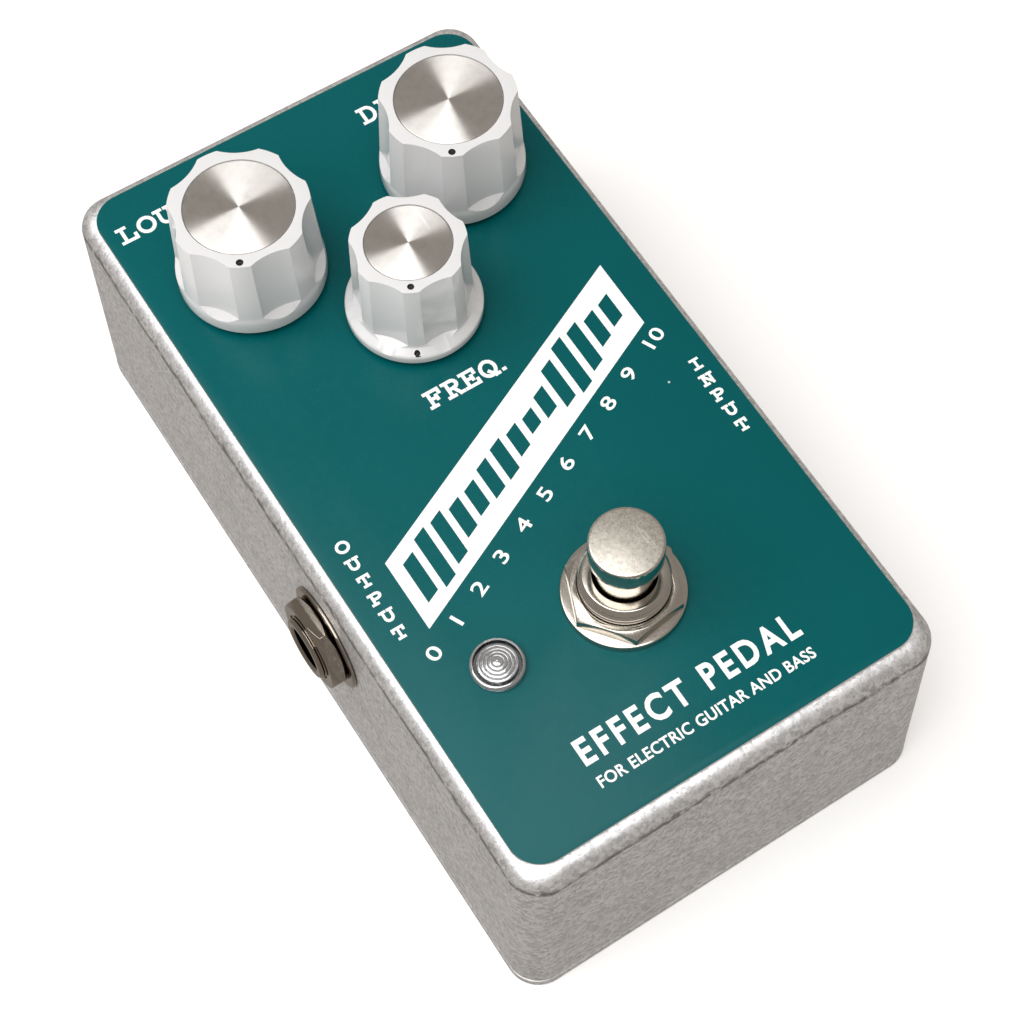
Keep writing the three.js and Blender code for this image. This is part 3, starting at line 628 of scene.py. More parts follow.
# %% Lamp lens
low, high, _ = span("lamp_lens")
seat = PLATE_TOP + 0.05
section = [(1.8, low.z), (2.9, low.z), (2.9, seat), (3.6, seat, 0.1), (3.6, seat + 0.75, 0.25),
           (3.15, seat + 1.0, 0.12)]
RINGS = 5
section += [(3.05, seat + 0.35), (2.75, seat + 0.35)]
for ring in range(RINGS):
    outer = 2.72 - ring * 0.5
    crest = seat + 1.0 + 0.15 * ring
    section += [(outer, crest - 0.24), (outer - 0.08, crest, 0.04),
                (outer - 0.4, crest + 0.02, 0.06)]
section += [(0.24, high.z - 0.22), (0.18, high.z, 0.04), (0, high.z)]
section += [(0, seat - 0.4), (1.8, seat - 1.6), (1.8, low.z)]
lens = set_down(turned("lamp_lens_rings", section, 96), at(lamp_axis.x, lamp_axis.y))
finish_surface(lens, 28)
belongs(lens, "casing", "lens_clear", "lamp_lens")

# %% [markdown]
# ## The jacks and the power inlet
#
# A jack is held in its wall by a thin washer and a hexagon nut, with the end of its threaded
# bushing just proud of the nut. Behind the wall sit a flange, an arm and a stack of contact
# leaves. One jack is modelled in its wall's own frame, then copied to the other side.

# %% Jacks
INNER = -WALL - 0.15
NUT_LOW, NUT_HIGH, BUSHING_TIP, BUSHING_RADIUS, BORE = 0.75, 2.95, 3.7, 4.7, 3.25

washer_section = [(4.8, 0.15), (7.7, 0.15, 0.08), (7.7, 0.5, 0.15), (7.2, 0.6, 0.1), (4.8, 0.6),
                  (4.8, 0.15)]
washer = finish_surface(turned("jack_washer_master", washer_section, 96))
jack_nut = nut("jack_nut_master", 12.7, NUT_LOW, NUT_HIGH, math.radians(38.8), 4.8, (1, 1))
ease_edges(jack_nut, 0.12, angle=25)
finish_surface(jack_nut, 24)

tube = [(BORE, INNER - 1.2), (8.4, INNER - 1.2, 0.15), (8.4, INNER, 0.15), (4.5, INNER)]
tube += [(4.5, -0.1)] + ridges(BUSHING_RADIUS, 0.0, BUSHING_TIP - 0.6, 0.6, 0.2)
tube += [(4.66, BUSHING_TIP - 0.45, 0.05), (4.3, BUSHING_TIP, 0.1), (3.5, BUSHING_TIP, 0.15),
         (BORE, BUSHING_TIP - 0.35), (BORE, INNER - 1.2)]
jack_frame = turned("jack_frame_master", tube, 80)
for name, low, high in (("arm", (-7.8, -4.5, -13.5), (-6.8, 4.5, INNER - 0.6)),
                        ("stack", (-7.0, -4, -10), (-4.6, 4, INNER - 0.9)),
                        ("lug", (-6.2, 3.8, -8.4), (-5.6, 8, -6.4))):
    leaf = block(name, low, high)
    ease_edges(leaf, 0.2)
    carve(jack_frame, leaf, operation="UNION")
finish_surface(jack_frame, 30)
for jack, side in (("output", -1), ("input", 1)):
    for master, part, node in ((washer, "dress_washer", "jack_washer"),
                               (jack_nut, "hexagon_nut", "jack_nut"),
                               (jack_frame, "socket_frame", "jack_frame")):
        piece = copied(master, f"{jack}_{part}", on_side(side))
        belongs(piece, "casing", "jack_nickel", f"{jack}_{node}")
for master in (washer, jack_nut, jack_frame):
    bpy.data.objects.remove(master)

# %% Power inlet
FLANGE, BARREL, PLUG_BORE, PIN, DEPTH, FRONT = 7.0, 5.8, 2.9, 1.0, 10.5, 2.0
section = [(PIN + 0.1, -DEPTH), (BARREL, -DEPTH, 0.2), (BARREL, 0.15), (FLANGE, 0.15, 0.1),
           (FLANGE, FRONT, 0.4), (PLUG_BORE, FRONT, 0.35), (PLUG_BORE, -7.5), (PIN + 0.1, -7.5),
           (PIN + 0.1, -DEPTH)]
inlet = turned("inlet_barrel", section, 96)
for x in (-4, 4):
    lug = block("lug", (x - 1, -0.3, -DEPTH - 4), (x + 1, 0.3, -DEPTH + 1))
    carve(inlet, lug, operation="UNION")
set_down(inlet, rear_wall)
finish_surface(inlet, 30)
belongs(inlet, "casing", "inlet_plastic", "power_inlet_body")
section = [(0, -DEPTH - 3), (PIN, -DEPTH - 3, 0.1), (PIN, -0.2, 0.1), (PIN - 0.4, 0.2, 0.15),
           (0, 0.2)]
pin = set_down(turned("inlet_centre_pin", section, 32), rear_wall)
finish_surface(pin, 35)
belongs(pin, "casing", "panel_nickel", "power_inlet_pin")

# %% [markdown]
# ## The print on the face
#
# The lettering is screen printed: a film of white ink about a fiftieth of a millimetre thick.
# The words name the controls and the sockets only. A slab-serif letter is a few straight
# strokes with short bars across their ends, so the strokes are laid as thin blocks and then
# fused into one outline. Round letters are short straight strokes round an oval.

# %% Print: strokes and letters
INK = 0.022
PRINT_LEVEL = PLATE_TOP + 0.001


def oval(x, y, rx, ry, start=0, stop=360, steps=12):
    return [(x + rx * math.cos(math.radians(start + (stop - start) * i / steps)),
             y + ry * math.sin(math.radians(start + (stop - start) * i / steps)))
            for i in range(steps + 1)]


def stem(x, feet=(0, 1), reach=0.19):
    """An upright with a slab across each end that is asked for."""
    return [[(x, 0), (x, 1)]] + [[(x - reach, end), (x + reach, end)] for end in feet]


LETTERS = {
    "D": stem(0.2, reach=0.17) + [[(0.2, 1), *oval(0.45, 0.5, 0.42, 0.5, 90, -90, 10), (0.2, 0)]],
    "E": stem(0.2, reach=0.17) + [[(0.2, 1), (0.85, 1), (0.85, 0.76)], [(0.2, 0.5), (0.62, 0.5)],
                                  [(0.62, 0.62), (0.62, 0.38)],
                                  [(0.2, 0), (0.88, 0), (0.88, 0.25)]],
    "F": stem(0.2, reach=0.19) + [[(0.2, 1), (0.86, 1), (0.86, 0.74)], [(0.2, 0.5), (0.62, 0.5)],
                                  [(0.62, 0.62), (0.62, 0.38)]],
    "I": stem(0.5, reach=0.3),
    "L": stem(0.25, reach=0.22) + [[(0.25, 0), (0.88, 0), (0.88, 0.28)]],
    "N": stem(0.2, reach=0.19) + stem(0.82, (1,), 0.17) + [[(0.2, 1), (0.82, 0)]],
    "O": [oval(0.5, 0.5, 0.44, 0.5, 0, 360, 18)],
    "P": stem(0.22) + [[(0.22, 1), *oval(0.55, 0.74, 0.3, 0.26, 90, -90, 8), (0.22, 0.48)]],
    "Q": [oval(0.5, 0.5, 0.44, 0.5, 0, 360, 18), [(0.48, 0.3), (0.75, -0.06), (0.95, -0.06)]],
    "R": stem(0.22) + [[(0.22, 1), *oval(0.55, 0.75, 0.28, 0.25, 90, -90, 8), (0.22, 0.5)],
                       [(0.52, 0.5), (0.78, 0), (0.98, 0)]],
    "S": [[(0.85, 0.72), (0.85, 0.98)], [(0.84, 0.8), *oval(0.48, 0.75, 0.3, 0.25, 60, 260, 8),
          *oval(0.5, 0.25, 0.33, 0.25, 80, -120, 8), (0.14, 0.22)], [(0.13, 0.28), (0.13, 0.02)]],
    "T": stem(0.5, (0,), 0.22) + [[(0.1, 0.74), (0.1, 1), (0.9, 1), (0.9, 0.74)]],
    "U": [[(0.2, 1), (0.2, 0.4), *oval(0.5, 0.36, 0.3, 0.36, 180, 360, 8), (0.8, 0.4), (0.8, 1)],
          [(0.02, 1), (0.38, 1)], [(0.66, 1), (0.96, 1)]],
    "V": [[(0.18, 1), (0.5, 0), (0.82, 1)], [(0.0, 1), (0.38, 1)], [(0.66, 1), (1.0, 1)]],
    ".": [[(0.1, 0.0), (0.16, 0.0)]],
}


def stroke(start, end, width):
    """One straight stroke of ink, in millimetres on the plate."""
    along = end - start
    bpy.ops.mesh.primitive_cube_add(
        size=1, location=(*(start + end) * MM / 2, (PRINT_LEVEL + INK / 2) * MM),
        rotation=(0, 0, math.atan2(along.y, along.x)),
        scale=((along.length + width) * MM, width * MM, INK * MM))


def slab_word(word, place, pitch, size, width, stacked=False):
    """Lays a word from its first letter's lower left corner; stacked words run downwards."""
    for number, letter in enumerate(word):
        corner = Vector((0, -number * pitch)) if stacked else Vector((number * pitch, 0))
        for line in LETTERS[letter]:
            points = [Vector(place) + (corner + Vector((x * size[0], y * size[1])))
                      for x, y in line]
            for start, end in zip(points, points[1:]):
                stroke(start, end, width)


def start_print(name):
    let_go()
    bpy.ops.mesh.primitive_plane_add(size=MM)
    piece = named(name)
    bpy.ops.object.mode_set(mode="EDIT")
    bpy.ops.mesh.delete(type="VERT")
    return piece


def fuse_print(piece):
    bpy.ops.mesh.select_all(action="SELECT")
    bpy.ops.mesh.intersect_boolean(operation="UNION", use_self=True, solver="EXACT")
    bpy.ops.object.mode_set(mode="OBJECT")
    return belongs(piece, "casing", "face_paint")


labels = start_print("printed_labels")
slab_word("LOUDNESS", (-28.2, 49.3), 2.88, (2.5, 2.3), 0.5)
slab_word("DRIVE", (9.9, 49.0), 2.95, (2.45, 2.4), 0.5)
slab_word("FREQ.", (-6.1, 4.6), 2.75, (2.3, 2.3), 0.5)
slab_word("OUTPUT", (-27.4, -7.4), 2.85, (1.75, 1.45), 0.38, stacked=True)
slab_word("INPUT", (26.4, -9.4), 2.75, (1.75, 1.45), 0.38, stacked=True)
fuse_print(labels)

# %% [markdown]
# The band across the face is a slanted white frame holding a row of bars, like the display of
# a level meter, with a scale of numbers under it. Plain bars and numbers say "sound" without
# being anybody's mark. The front edge carries a plain description of the object.

# %% Print: band of level bars
LEFT, RIGHT, FOOT, BAND_HEIGHT, BORDER = -23.1, 25.0, -22.5, 10.9, 1.3
RISE = 0.478  # how much the band climbs for each millimetre to the right


def leaning_bar(name, left, right, low, high, thickness=INK, below=0.0):
    """A block with upright sides whose ends climb with the band."""
    foot = FOOT + (left - LEFT) * RISE
    bar = block(name, (left, foot + low, PRINT_LEVEL - below), (right, foot + high,
                                                                PRINT_LEVEL + thickness))
    choose(bar, "FACE", lambda centre, normal: normal.x > 0.9)
    bpy.ops.transform.translate(value=(0, (right - left) * RISE * MM, 0))
    bpy.ops.object.mode_set(mode="OBJECT")
    return bar


band = leaning_bar("printed_band", LEFT, RIGHT, 0, BAND_HEIGHT)
BARS = 15
step = (RIGHT - LEFT - 2 * BORDER) / BARS
for number in range(BARS):
    swell = 0.62 + 0.38 * math.sin(number * 0.95 + 0.4) * math.cos(number * 0.31)
    reach = (BAND_HEIGHT / 2 - BORDER) * swell
    start = LEFT + BORDER + (number + 0.17) * step
    carve(band, leaning_bar("bar", start, start + step * 0.66, BAND_HEIGHT / 2 - reach,
                            BAND_HEIGHT / 2 + reach, thickness=1, below=1))
belongs(band, "casing", "face_paint")

# %% Print: number scale and the description
def printed_text(name, body, width, height, place, turn=0.0, bold=0.0, spacing=1.0):
    """Plain lettering, stretched to a width and a height in millimetres."""
    let_go()
    bpy.ops.object.text_add()
    words = bpy.context.object
    words.data.body = body
    words.data.align_x = "CENTER"
    words.data.extrude = 0.5
    words.data.offset = bold
    words.data.space_character = spacing
    words.data.resolution_u = 4
    bpy.ops.object.convert(target="MESH")
    piece = named(name)
    corners = [Vector(corner) for corner in piece.bound_box]
    low = Vector([min(corner[axis] for corner in corners) for axis in range(3)])
    high = Vector([max(corner[axis] for corner in corners) for axis in range(3)])
    size = high - low
    scale = Matrix.Diagonal((width * MM / size.x, height * MM / size.y, INK * MM / size.z, 1))
    centred = Matrix.Translation(-Vector(((low.x + high.x) / 2, low.y, low.z)))
    set_down(piece, at(place[0], place[1], PRINT_LEVEL) @ Matrix.Rotation(turn, 4, "Z")
             @ scale @ centred)
    modify(piece, "WELD", merge_threshold=0.002 * MM)
    return belongs(piece, "casing", "face_paint")


SLOPE = math.atan(RISE)
printed_text("printed_scale", "0   1   2   3   4   5   6   7   8   9   10", 57, 2.1, (0.95, -14.75),
             turn=SLOPE, bold=0.012)
printed_text("printed_title", "EFFECT PEDAL", 33, 3.8, (0.0, -48.9), bold=0.03, spacing=1.3)
printed_text("printed_subtitle", "FOR ELECTRIC GUITAR AND BASS", 32.6, 1.65, (-0.1, -52.3),
             bold=0.02, spacing=1.05)

# %% [markdown]
# ## Finishes
#
# Materials come last, when the shapes that carry them are known. Effects that several
# finishes share are node groups: a speckled grain, fine dust and hair-thin scratches.
# Each is fed by the Object coordinates of the piece in metres, so every
# scale below counts features per metre: 1000 means about one feature per millimetre.

# %% Node helpers
class Bench:
    """A node tree and short ways to put nodes on it and wire them."""

    def __init__(self, tree):
        self.tree = tree

    def add(self, kind, **inputs):
        node = self.tree.nodes.new(kind)
        for key, value in inputs.items():
            if hasattr(node, key):
                setattr(node, key, value)
                continue
            name = key.replace("_", " ")
            socket = next(s for s in node.inputs if s.name == name and s.enabled)
            self.feed(value, socket)
        return node

    def feed(self, value, socket):
        if isinstance(value, bpy.types.NodeSocket):
            self.tree.links.new(value, socket)
        else:
            socket.default_value = value

    def math(self, operation, first, second=None, clamp=False):
        node = self.tree.nodes.new("ShaderNodeMath")
        node.operation = operation
        node.use_clamp = clamp
        self.feed(first, node.inputs[0])
        if second is not None:
            self.feed(second, node.inputs[1])
        return node.outputs[0]

    def ramp(self, value, low, high, start=0.0, end=1.0):
        """Maps low..high to start..end and holds it there."""
        node = self.tree.nodes.new("ShaderNodeMapRange")
        self.feed(value, node.inputs["Value"])
        for name, number in (("From Min", low), ("From Max", high), ("To Min", start),
                             ("To Max", end)):
            self.feed(number, node.inputs[name])
        return node.outputs["Result"]

    def mix(self, share, first, second):
        """Blends two colours; a Mix node keeps its colour sockets at places 6 and 7."""
        node = self.tree.nodes.new("ShaderNodeMix")
        node.data_type = "RGBA"
        self.feed(share, node.inputs["Factor"])
        self.feed(first, node.inputs[6])
        self.feed(second, node.inputs[7])
        return node.outputs[2]

    def noise(self, vector, scale, detail=2.0, roughness=0.5):
        node = self.tree.nodes.new("ShaderNodeTexNoise")
        self.feed(vector, node.inputs["Vector"])
        self.feed(scale, node.inputs["Scale"])
        node.inputs["Detail"].default_value = detail
        node.inputs["Roughness"].default_value = roughness
        return node.outputs["Fac"]


def effect(name, inputs, outputs):
    """An empty node group with named number or vector inputs and number outputs."""
    group = bpy.data.node_groups.new(name, "ShaderNodeTree")
    for socket, value in inputs.items():
        kind = "NodeSocketVector" if value is None else "NodeSocketFloat"
        made = group.interface.new_socket(socket, in_out="INPUT", socket_type=kind)
        if value is not None:
            made.default_value = value
    for socket in outputs:
        group.interface.new_socket(socket, in_out="OUTPUT", socket_type="NodeSocketFloat")
    bench = Bench(group)
    return group, bench, group.nodes.new("NodeGroupInput").outputs, \
        group.nodes.new("NodeGroupOutput").inputs


# %% Shared effect: speckled grain
# Tumbled metal shows flat little facets of different tone, with finer pits between them.
grain, bench, given, result = effect("Speckled Grain", {"Place": None, "Facets per metre": 1500.0,
                                                        "Pits": 0.5}, ["Tone", "Height"])
cells = bench.tree.nodes.new("ShaderNodeTexVoronoi")
bench.feed(given["Place"], cells.inputs["Vector"])
bench.feed(given["Facets per metre"], cells.inputs["Scale"])
shade = bench.add("ShaderNodeSeparateColor", Color=cells.outputs["Color"]).outputs[0]
fine = bench.noise(given["Place"], bench.math("MULTIPLY", given["Facets per metre"], 1.7), 3, 0.6)
broad = bench.noise(given["Place"], bench.math("MULTIPLY", given["Facets per metre"], 0.12), 2, 0.5)
tone = bench.math("ADD", bench.math("MULTIPLY", shade, 0.34),
                  bench.math("ADD", bench.math("MULTIPLY", fine, 0.46),
                             bench.math("MULTIPLY", broad, 0.2)))
pits = bench.ramp(fine, 0.38, 0.26, 0, given["Pits"])
bench.feed(bench.math("SUBTRACT", tone, pits, clamp=True), result["Tone"])
grains = bench.math("ADD", bench.math("MULTIPLY", shade, 0.5), fine)
bench.feed(bench.math("SUBTRACT", grains, pits), result["Height"])

# %% Shared effect: fine dust
# A few pale specks settle on any dark or glossy surface.
dust, bench, given, result = effect("Fine Dust", {"Place": None, "Amount": 0.02,
                                                  "Specks per metre": 420.0}, ["Mask"])
cells = bench.tree.nodes.new("ShaderNodeTexVoronoi")
bench.feed(given["Place"], cells.inputs["Vector"])
bench.feed(given["Specks per metre"], cells.inputs["Scale"])
lot = bench.add("ShaderNodeSeparateColor", Color=cells.outputs["Color"]).outputs[1]
chosen = bench.math("LESS_THAN", lot, given["Amount"])
dot = bench.ramp(cells.outputs["Distance"], 0.07, 0.04)
bench.feed(bench.math("MULTIPLY", chosen, dot), result["Mask"])

# %% Shared effect: hair scratches
# Long noise stretched along one direction leaves thin lines; two directions cross.
hairs, bench, given, result = effect("Hair Scratches", {"Place": None, "Lines per metre": 900.0,
                                                        "Amount": 0.3}, ["Mask"])
masks = []
for angle in (0.5, 2.1):
    turned_place = bench.add("ShaderNodeMapping", Vector=given["Place"])
    turned_place.inputs["Rotation"].default_value = (0, 0, angle)
    turned_place.inputs["Scale"].default_value = (1, 0.035, 0.3)
    lines = bench.noise(turned_place.outputs[0], given["Lines per metre"], 1, 0.4)
    masks.append(bench.ramp(bench.math("ABSOLUTE", bench.math("SUBTRACT", lines, 0.5)), 0.012, 0.0))
patch = bench.ramp(bench.noise(given["Place"], 160, 2, 0.5), 0.5, 0.72)
both = bench.math("MAXIMUM", *masks)
bench.feed(bench.math("MULTIPLY", bench.math("MULTIPLY", both, patch), given["Amount"]),
           result["Mask"])
print("effects:", [group.name for group in bpy.data.node_groups])


# %% [markdown]
# A finish is a Principled shader with its own fixed numbers and a few of the effects. The
# helper makes the shader, hands back a bench to wire on, and gives the piece's coordinates.

# %% Finish helper
FIXED = {"metal": "Metallic", "rough": "Roughness", "coat": "Coat Weight",
         "coat_rough": "Coat Roughness", "clear": "Transmission Weight", "ior": "IOR",
         "brushed": "Anisotropic", "brush_turn": "Anisotropic Rotation",
         "gloss": "Specular IOR Level"}


def finish_of(name, color, **numbers):
    material = bpy.data.materials.new(name)
    material.use_nodes = True
    bench = Bench(material.node_tree)
    shader = material.node_tree.nodes["Principled BSDF"]
    shader.inputs["Base Color"].default_value = (*color, 1)
    for key, value in numbers.items():
        shader.inputs[FIXED[key]].default_value = value
    place = bench.add("ShaderNodeTexCoord").outputs["Object"]
    return material, bench, shader, place


def use(bench, group, place, **values):
    node = bench.tree.nodes.new("ShaderNodeGroup")
    node.node_tree = group
    node.label = group.name
    bench.feed(place, node.inputs["Place"])
    for key, value in values.items():
        bench.feed(value, node.inputs[key.replace("_", " ")])
    return node.outputs


def height_of(bench, place):
    return bench.add("ShaderNodeSeparateXYZ", Vector=place).outputs["Z"]


def distance_from(bench, place, axis):
    """Distance of each point from an upright axis given in millimetres."""
    centred = bench.add("ShaderNodeMapping", Vector=place)
    centred.inputs["Location"].default_value = (-axis.x * MM, -axis.y * MM, 0)
    flat = bench.add("ShaderNodeVectorMath", operation="MULTIPLY")
    bench.feed(centred.outputs[0], flat.inputs[0])
    flat.inputs[1].default_value = (1, 1, 0)
    length = bench.add("ShaderNodeVectorMath", operation="LENGTH")
    bench.feed(flat.outputs[0], length.inputs[0])
    return length.outputs["Value"]


def bump(bench, shader, height, depth_mm, strength=1.0):
    node = bench.tree.nodes.new("ShaderNodeBump")
    node.inputs["Strength"].default_value = strength
    node.inputs["Distance"].default_value = depth_mm * MM
    bench.feed(height, node.inputs["Height"])
    bench.feed(node.outputs["Normal"], shader.inputs["Normal"])


FINISHES = {}


def tinted(color, factor):
    return (*(channel * factor for channel in color), 1)


# %% Cast and tumbled aluminium
CAST = (0.83, 0.835, 0.85)
material, bench, shader, place = finish_of("tumbled_aluminium", CAST, metal=0.9, rough=0.42)
speckle = use(bench, grain, place, Facets_per_metre=1900.0, Pits=0.35)
base_tone = bench.mix(bench.ramp(speckle["Tone"], 0.25, 0.75),
                      tinted(CAST, 0.62), tinted(CAST, 1.3))
height_up = height_of(bench, place)
wander = bench.math("MULTIPLY", bench.math("SUBTRACT", bench.noise(place, 260, 3, 0.6), 0.5),
                    2.2 * MM)
level_line = bench.math("ADD", height_up, wander)
# Painted shade: a wavy dark band at the foot of the top rounding darkens the base colour and stands
# in for the dark reflection along that edge.
painted_shade_band = bench.math("MULTIPLY", bench.ramp(level_line, 35.9 * MM, 36.6 * MM),
                      bench.ramp(level_line, 37.6 * MM, 36.9 * MM))
painted_shade_mask = bench.math("MULTIPLY", painted_shade_band, bench.ramp(bench.noise(place, 900, 2, 0.6), 0.32, 0.5))
base_tone = bench.mix(bench.math("MULTIPLY", painted_shade_mask, 0.85), base_tone, (0.14, 0.13, 0.12, 1))
bench.feed(base_tone, shader.inputs["Base Color"])
bench.feed(bench.ramp(speckle["Tone"], 0.2, 0.8, 0.5, 0.34), shader.inputs["Roughness"])
bump(bench, shader, speckle["Height"], 0.03, 0.7)
FINISHES["cast_aluminium"] = material

material, bench, shader, place = finish_of("base_cast_aluminium", CAST, metal=0.9, rough=0.45)
speckle = use(bench, grain, place, Facets_per_metre=1600.0, Pits=0.3)
scratch = use(bench, hairs, place, Lines_per_metre=500.0, Amount=0.5)
tone = bench.mix(bench.ramp(speckle["Tone"], 0.25, 0.75), tinted(CAST, 0.7), tinted(CAST, 1.15))
bench.feed(bench.mix(scratch["Mask"], tone, (0.9, 0.88, 0.86, 1)), shader.inputs["Base Color"])
bump(bench, shader, speckle["Height"], 0.02, 0.6)
FINISHES["base_aluminium"] = material

# %% Face paint, bare only along the edge of the sheet
TEAL = (0.0004, 0.086, 0.092)
material, bench, shader, place = finish_of("teal_face_paint", TEAL, rough=0.26, gloss=0.14)
orange_peel = bench.noise(place, 700, 2, 0.5)
broad = bench.noise(place, 45, 2, 0.5)
paint = bench.mix(broad, tinted(TEAL, 0.9), tinted(TEAL, 1.1))
specks = use(bench, dust, place, Amount=0.03, Specks_per_metre=330.0)
paint = bench.mix(specks["Mask"], paint, (0.45, 0.55, 0.55, 1))
height_up = height_of(bench, place)
painted = bench.ramp(height_up, (PLATE_TOP - 0.13) * MM, (PLATE_TOP - 0.05) * MM)
bench.feed(bench.mix(painted, (0.72, 0.70, 0.68, 1), paint), shader.inputs["Base Color"])
bench.feed(bench.ramp(painted, 0, 1, 0.9, 0.0), shader.inputs["Metallic"])
bench.feed(bench.ramp(orange_peel, 0.3, 0.7, 0.23, 0.3), shader.inputs["Roughness"])
bump(bench, shader, orange_peel, 0.006, 0.5)
FINISHES["face_paint"] = material

INK_WHITE = (0.86, 0.87, 0.86)
material, bench, shader, place = finish_of("white_print", INK_WHITE, rough=0.5)
film = bench.noise(place, 2500, 2, 0.6)
bench.feed(bench.mix(bench.ramp(film, 0.35, 0.65),
                     tinted(INK_WHITE, 0.94), tinted(INK_WHITE, 1.04)),
           shader.inputs["Base Color"])
bump(bench, shader, film, 0.004, 0.4)
FINISHES["ink"] = material

# %% White knob plastic and the pointer dimple
MILK = (0.66, 0.66, 0.665)
material, bench, shader, place = finish_of("white_knob_plastic", MILK, rough=0.17, ior=1.49,
                                           coat=0.25, coat_rough=0.06)
cloud = bench.noise(place, 120, 2, 0.5)
flow = bench.noise(place, 420, 2, 0.5)
tone = bench.mix(cloud, tinted(MILK, 0.97), tinted(MILK, 1.02))
specks = use(bench, dust, place, Amount=0.05, Specks_per_metre=600.0)
bench.feed(bench.mix(specks["Mask"], tone, (0.55, 0.53, 0.5, 1)), shader.inputs["Base Color"])
bench.feed(bench.ramp(flow, 0.3, 0.7, 0.14, 0.2), shader.inputs["Roughness"])
bump(bench, shader, flow, 0.01, 0.25)
FINISHES["knob_plastic"] = material

material, bench, shader, place = finish_of("pointer_black", (0.012, 0.012, 0.012), rough=0.25)
bench.feed(bench.ramp(bench.noise(place, 3000), 0.3, 0.7, 0.2, 0.35), shader.inputs["Roughness"])
FINISHES["pointer"] = material

# %% [markdown]
# Spun metal is covered in fine rings, so it reflects in two bright wedges that stay still
# while the disc turns. An anisotropic shader with a radial tangent gives exactly that. The
# rings themselves are a thin wave in the radius, measured from each disc's own axis.

# %% Spun aluminium, one finish for each disc
SPUN = (0.80, 0.775, 0.75)
for name in CONTROLS:
    material, bench, shader, place = finish_of(f"spun_aluminium_{name}", SPUN, metal=1.0,
                                               rough=0.36, brushed=1.0, brush_turn=0.25)
    tangent = bench.add("ShaderNodeTangent", direction_type="RADIAL", axis="Z").outputs[0]
    bench.feed(tangent, shader.inputs["Tangent"])
    radius = distance_from(bench, place, axis_of[name])
    ring_place = bench.add("ShaderNodeCombineXYZ", X=radius).outputs[0]
    rings = bench.noise(ring_place, 9000, 3, 0.7)
    blotch = bench.noise(place, 700, 3, 0.6)
    marks = use(bench, hairs, place, Lines_per_metre=1500.0, Amount=0.8)
    tone = bench.mix(rings, tinted(SPUN, 0.86), tinted(SPUN, 1.12))
    tone = bench.mix(bench.ramp(blotch, 0.45, 0.75, 0, 0.35), tone, tinted(SPUN, 0.7))
    bench.feed(bench.mix(marks["Mask"], tone, (0.97, 0.96, 0.95, 1)), shader.inputs["Base Color"])
    bench.feed(bench.ramp(rings, 0.3, 0.7, 0.33, 0.4), shader.inputs["Roughness"])
    bump(bench, shader, rings, 0.0015, 0.35)
    FINISHES[f"disc_{name}"] = material

# %% Nickel, steel, brass and the rest of the metals
def worn_metal(name, color, rough, lines=900.0, amount=0.35, speckle_tone=0.06, patches=500,
               satin_above=None):
    material, bench, shader, place = finish_of(name, color, metal=1.0, rough=rough)
    uneven = bench.noise(place, patches, 3, 0.6)
    fine = bench.noise(place, 4200, 2, 0.6)
    scratch = use(bench, hairs, place, Lines_per_metre=lines, Amount=amount)
    tone = bench.mix(uneven, tinted(color, 1 - speckle_tone), tinted(color, 1 + speckle_tone))
    bench.feed(bench.mix(scratch["Mask"], tone, (0.95, 0.94, 0.92, 1)),
               shader.inputs["Base Color"])
    matt = bench.ramp(bench.math("ADD", fine, bench.math("MULTIPLY", scratch["Mask"], 0.6)),
                      0.3, 0.9, rough * 0.8, rough * 1.35)
    if satin_above:
        height_up = height_of(bench, place)
        matt = bench.math("MULTIPLY", matt, bench.ramp(height_up, (satin_above - 0.1) * MM,
                                                       satin_above * MM, 0.35, 1.0))
    bench.feed(matt, shader.inputs["Roughness"])
    bump(bench, shader, fine, 0.0015, 0.3)
    return material


NICKEL = (0.55, 0.515, 0.465)
FINISHES["switch_nickel"] = worn_metal("satin_switch_nickel", NICKEL, 0.16, amount=0.5)
FINISHES["button"] = worn_metal("speckled_button_nickel", (0.60, 0.57, 0.51), 0.3, amount=0.4,
                                speckle_tone=0.45, patches=1900, satin_above=55.0)
# The jack hardware takes a darker copy of the nickel: painted shade for the dark surroundings that
# its faces mirror.
FINISHES["jack_nickel"] = worn_metal("dark_jack_nickel", (0.34, 0.30, 0.255), 0.08)
FINISHES["panel_nickel"] = worn_metal("panel_nut_nickel", NICKEL, 0.18)
FINISHES["screw_steel"] = worn_metal("zinc_plated_steel", (0.66, 0.66, 0.65), 0.25)
FINISHES["shaft_brass"] = worn_metal("turned_brass", (0.74, 0.55, 0.28), 0.28)
FINISHES["spring_brass"] = worn_metal("sprung_brass", (0.76, 0.6, 0.33), 0.22)
FINISHES["pot_zinc"] = worn_metal("pressed_zinc", (0.62, 0.63, 0.64), 0.33)

# %% Clear lens and bulb
material, bench, shader, place = finish_of("clear_lens", (0.93, 0.935, 0.94), rough=0.06, ior=1.49,
                                           clear=0.8, metal=0.35)
ripple = bench.noise(place, 900, 2, 0.5)
bench.feed(bench.ramp(ripple, 0.3, 0.7, 0.03, 0.1), shader.inputs["Roughness"])
radius = distance_from(bench, place, lamp_axis)
# Painted shade: a dark ring in the lens colour, between the rim and the rings, stands in for the
# shadowed gap beneath it.
painted_gap_shade = bench.math("MULTIPLY", bench.ramp(radius, 2.68 * MM, 2.76 * MM),
                 bench.ramp(radius, 3.22 * MM, 3.12 * MM))
bench.feed(bench.mix(painted_gap_shade, (0.8, 0.81, 0.82, 1), (0.03, 0.032, 0.035, 1)),
           shader.inputs["Base Color"])
FINISHES["lens_clear"] = material
material, bench, shader, place = finish_of("clear_bulb", (0.95, 0.96, 0.95), rough=0.08, ior=1.5,
                                           clear=0.9)
bench.feed(bench.ramp(bench.noise(place, 1200), 0.3, 0.7, 0.05, 0.15), shader.inputs["Roughness"])
FINISHES["bulb_clear"] = material


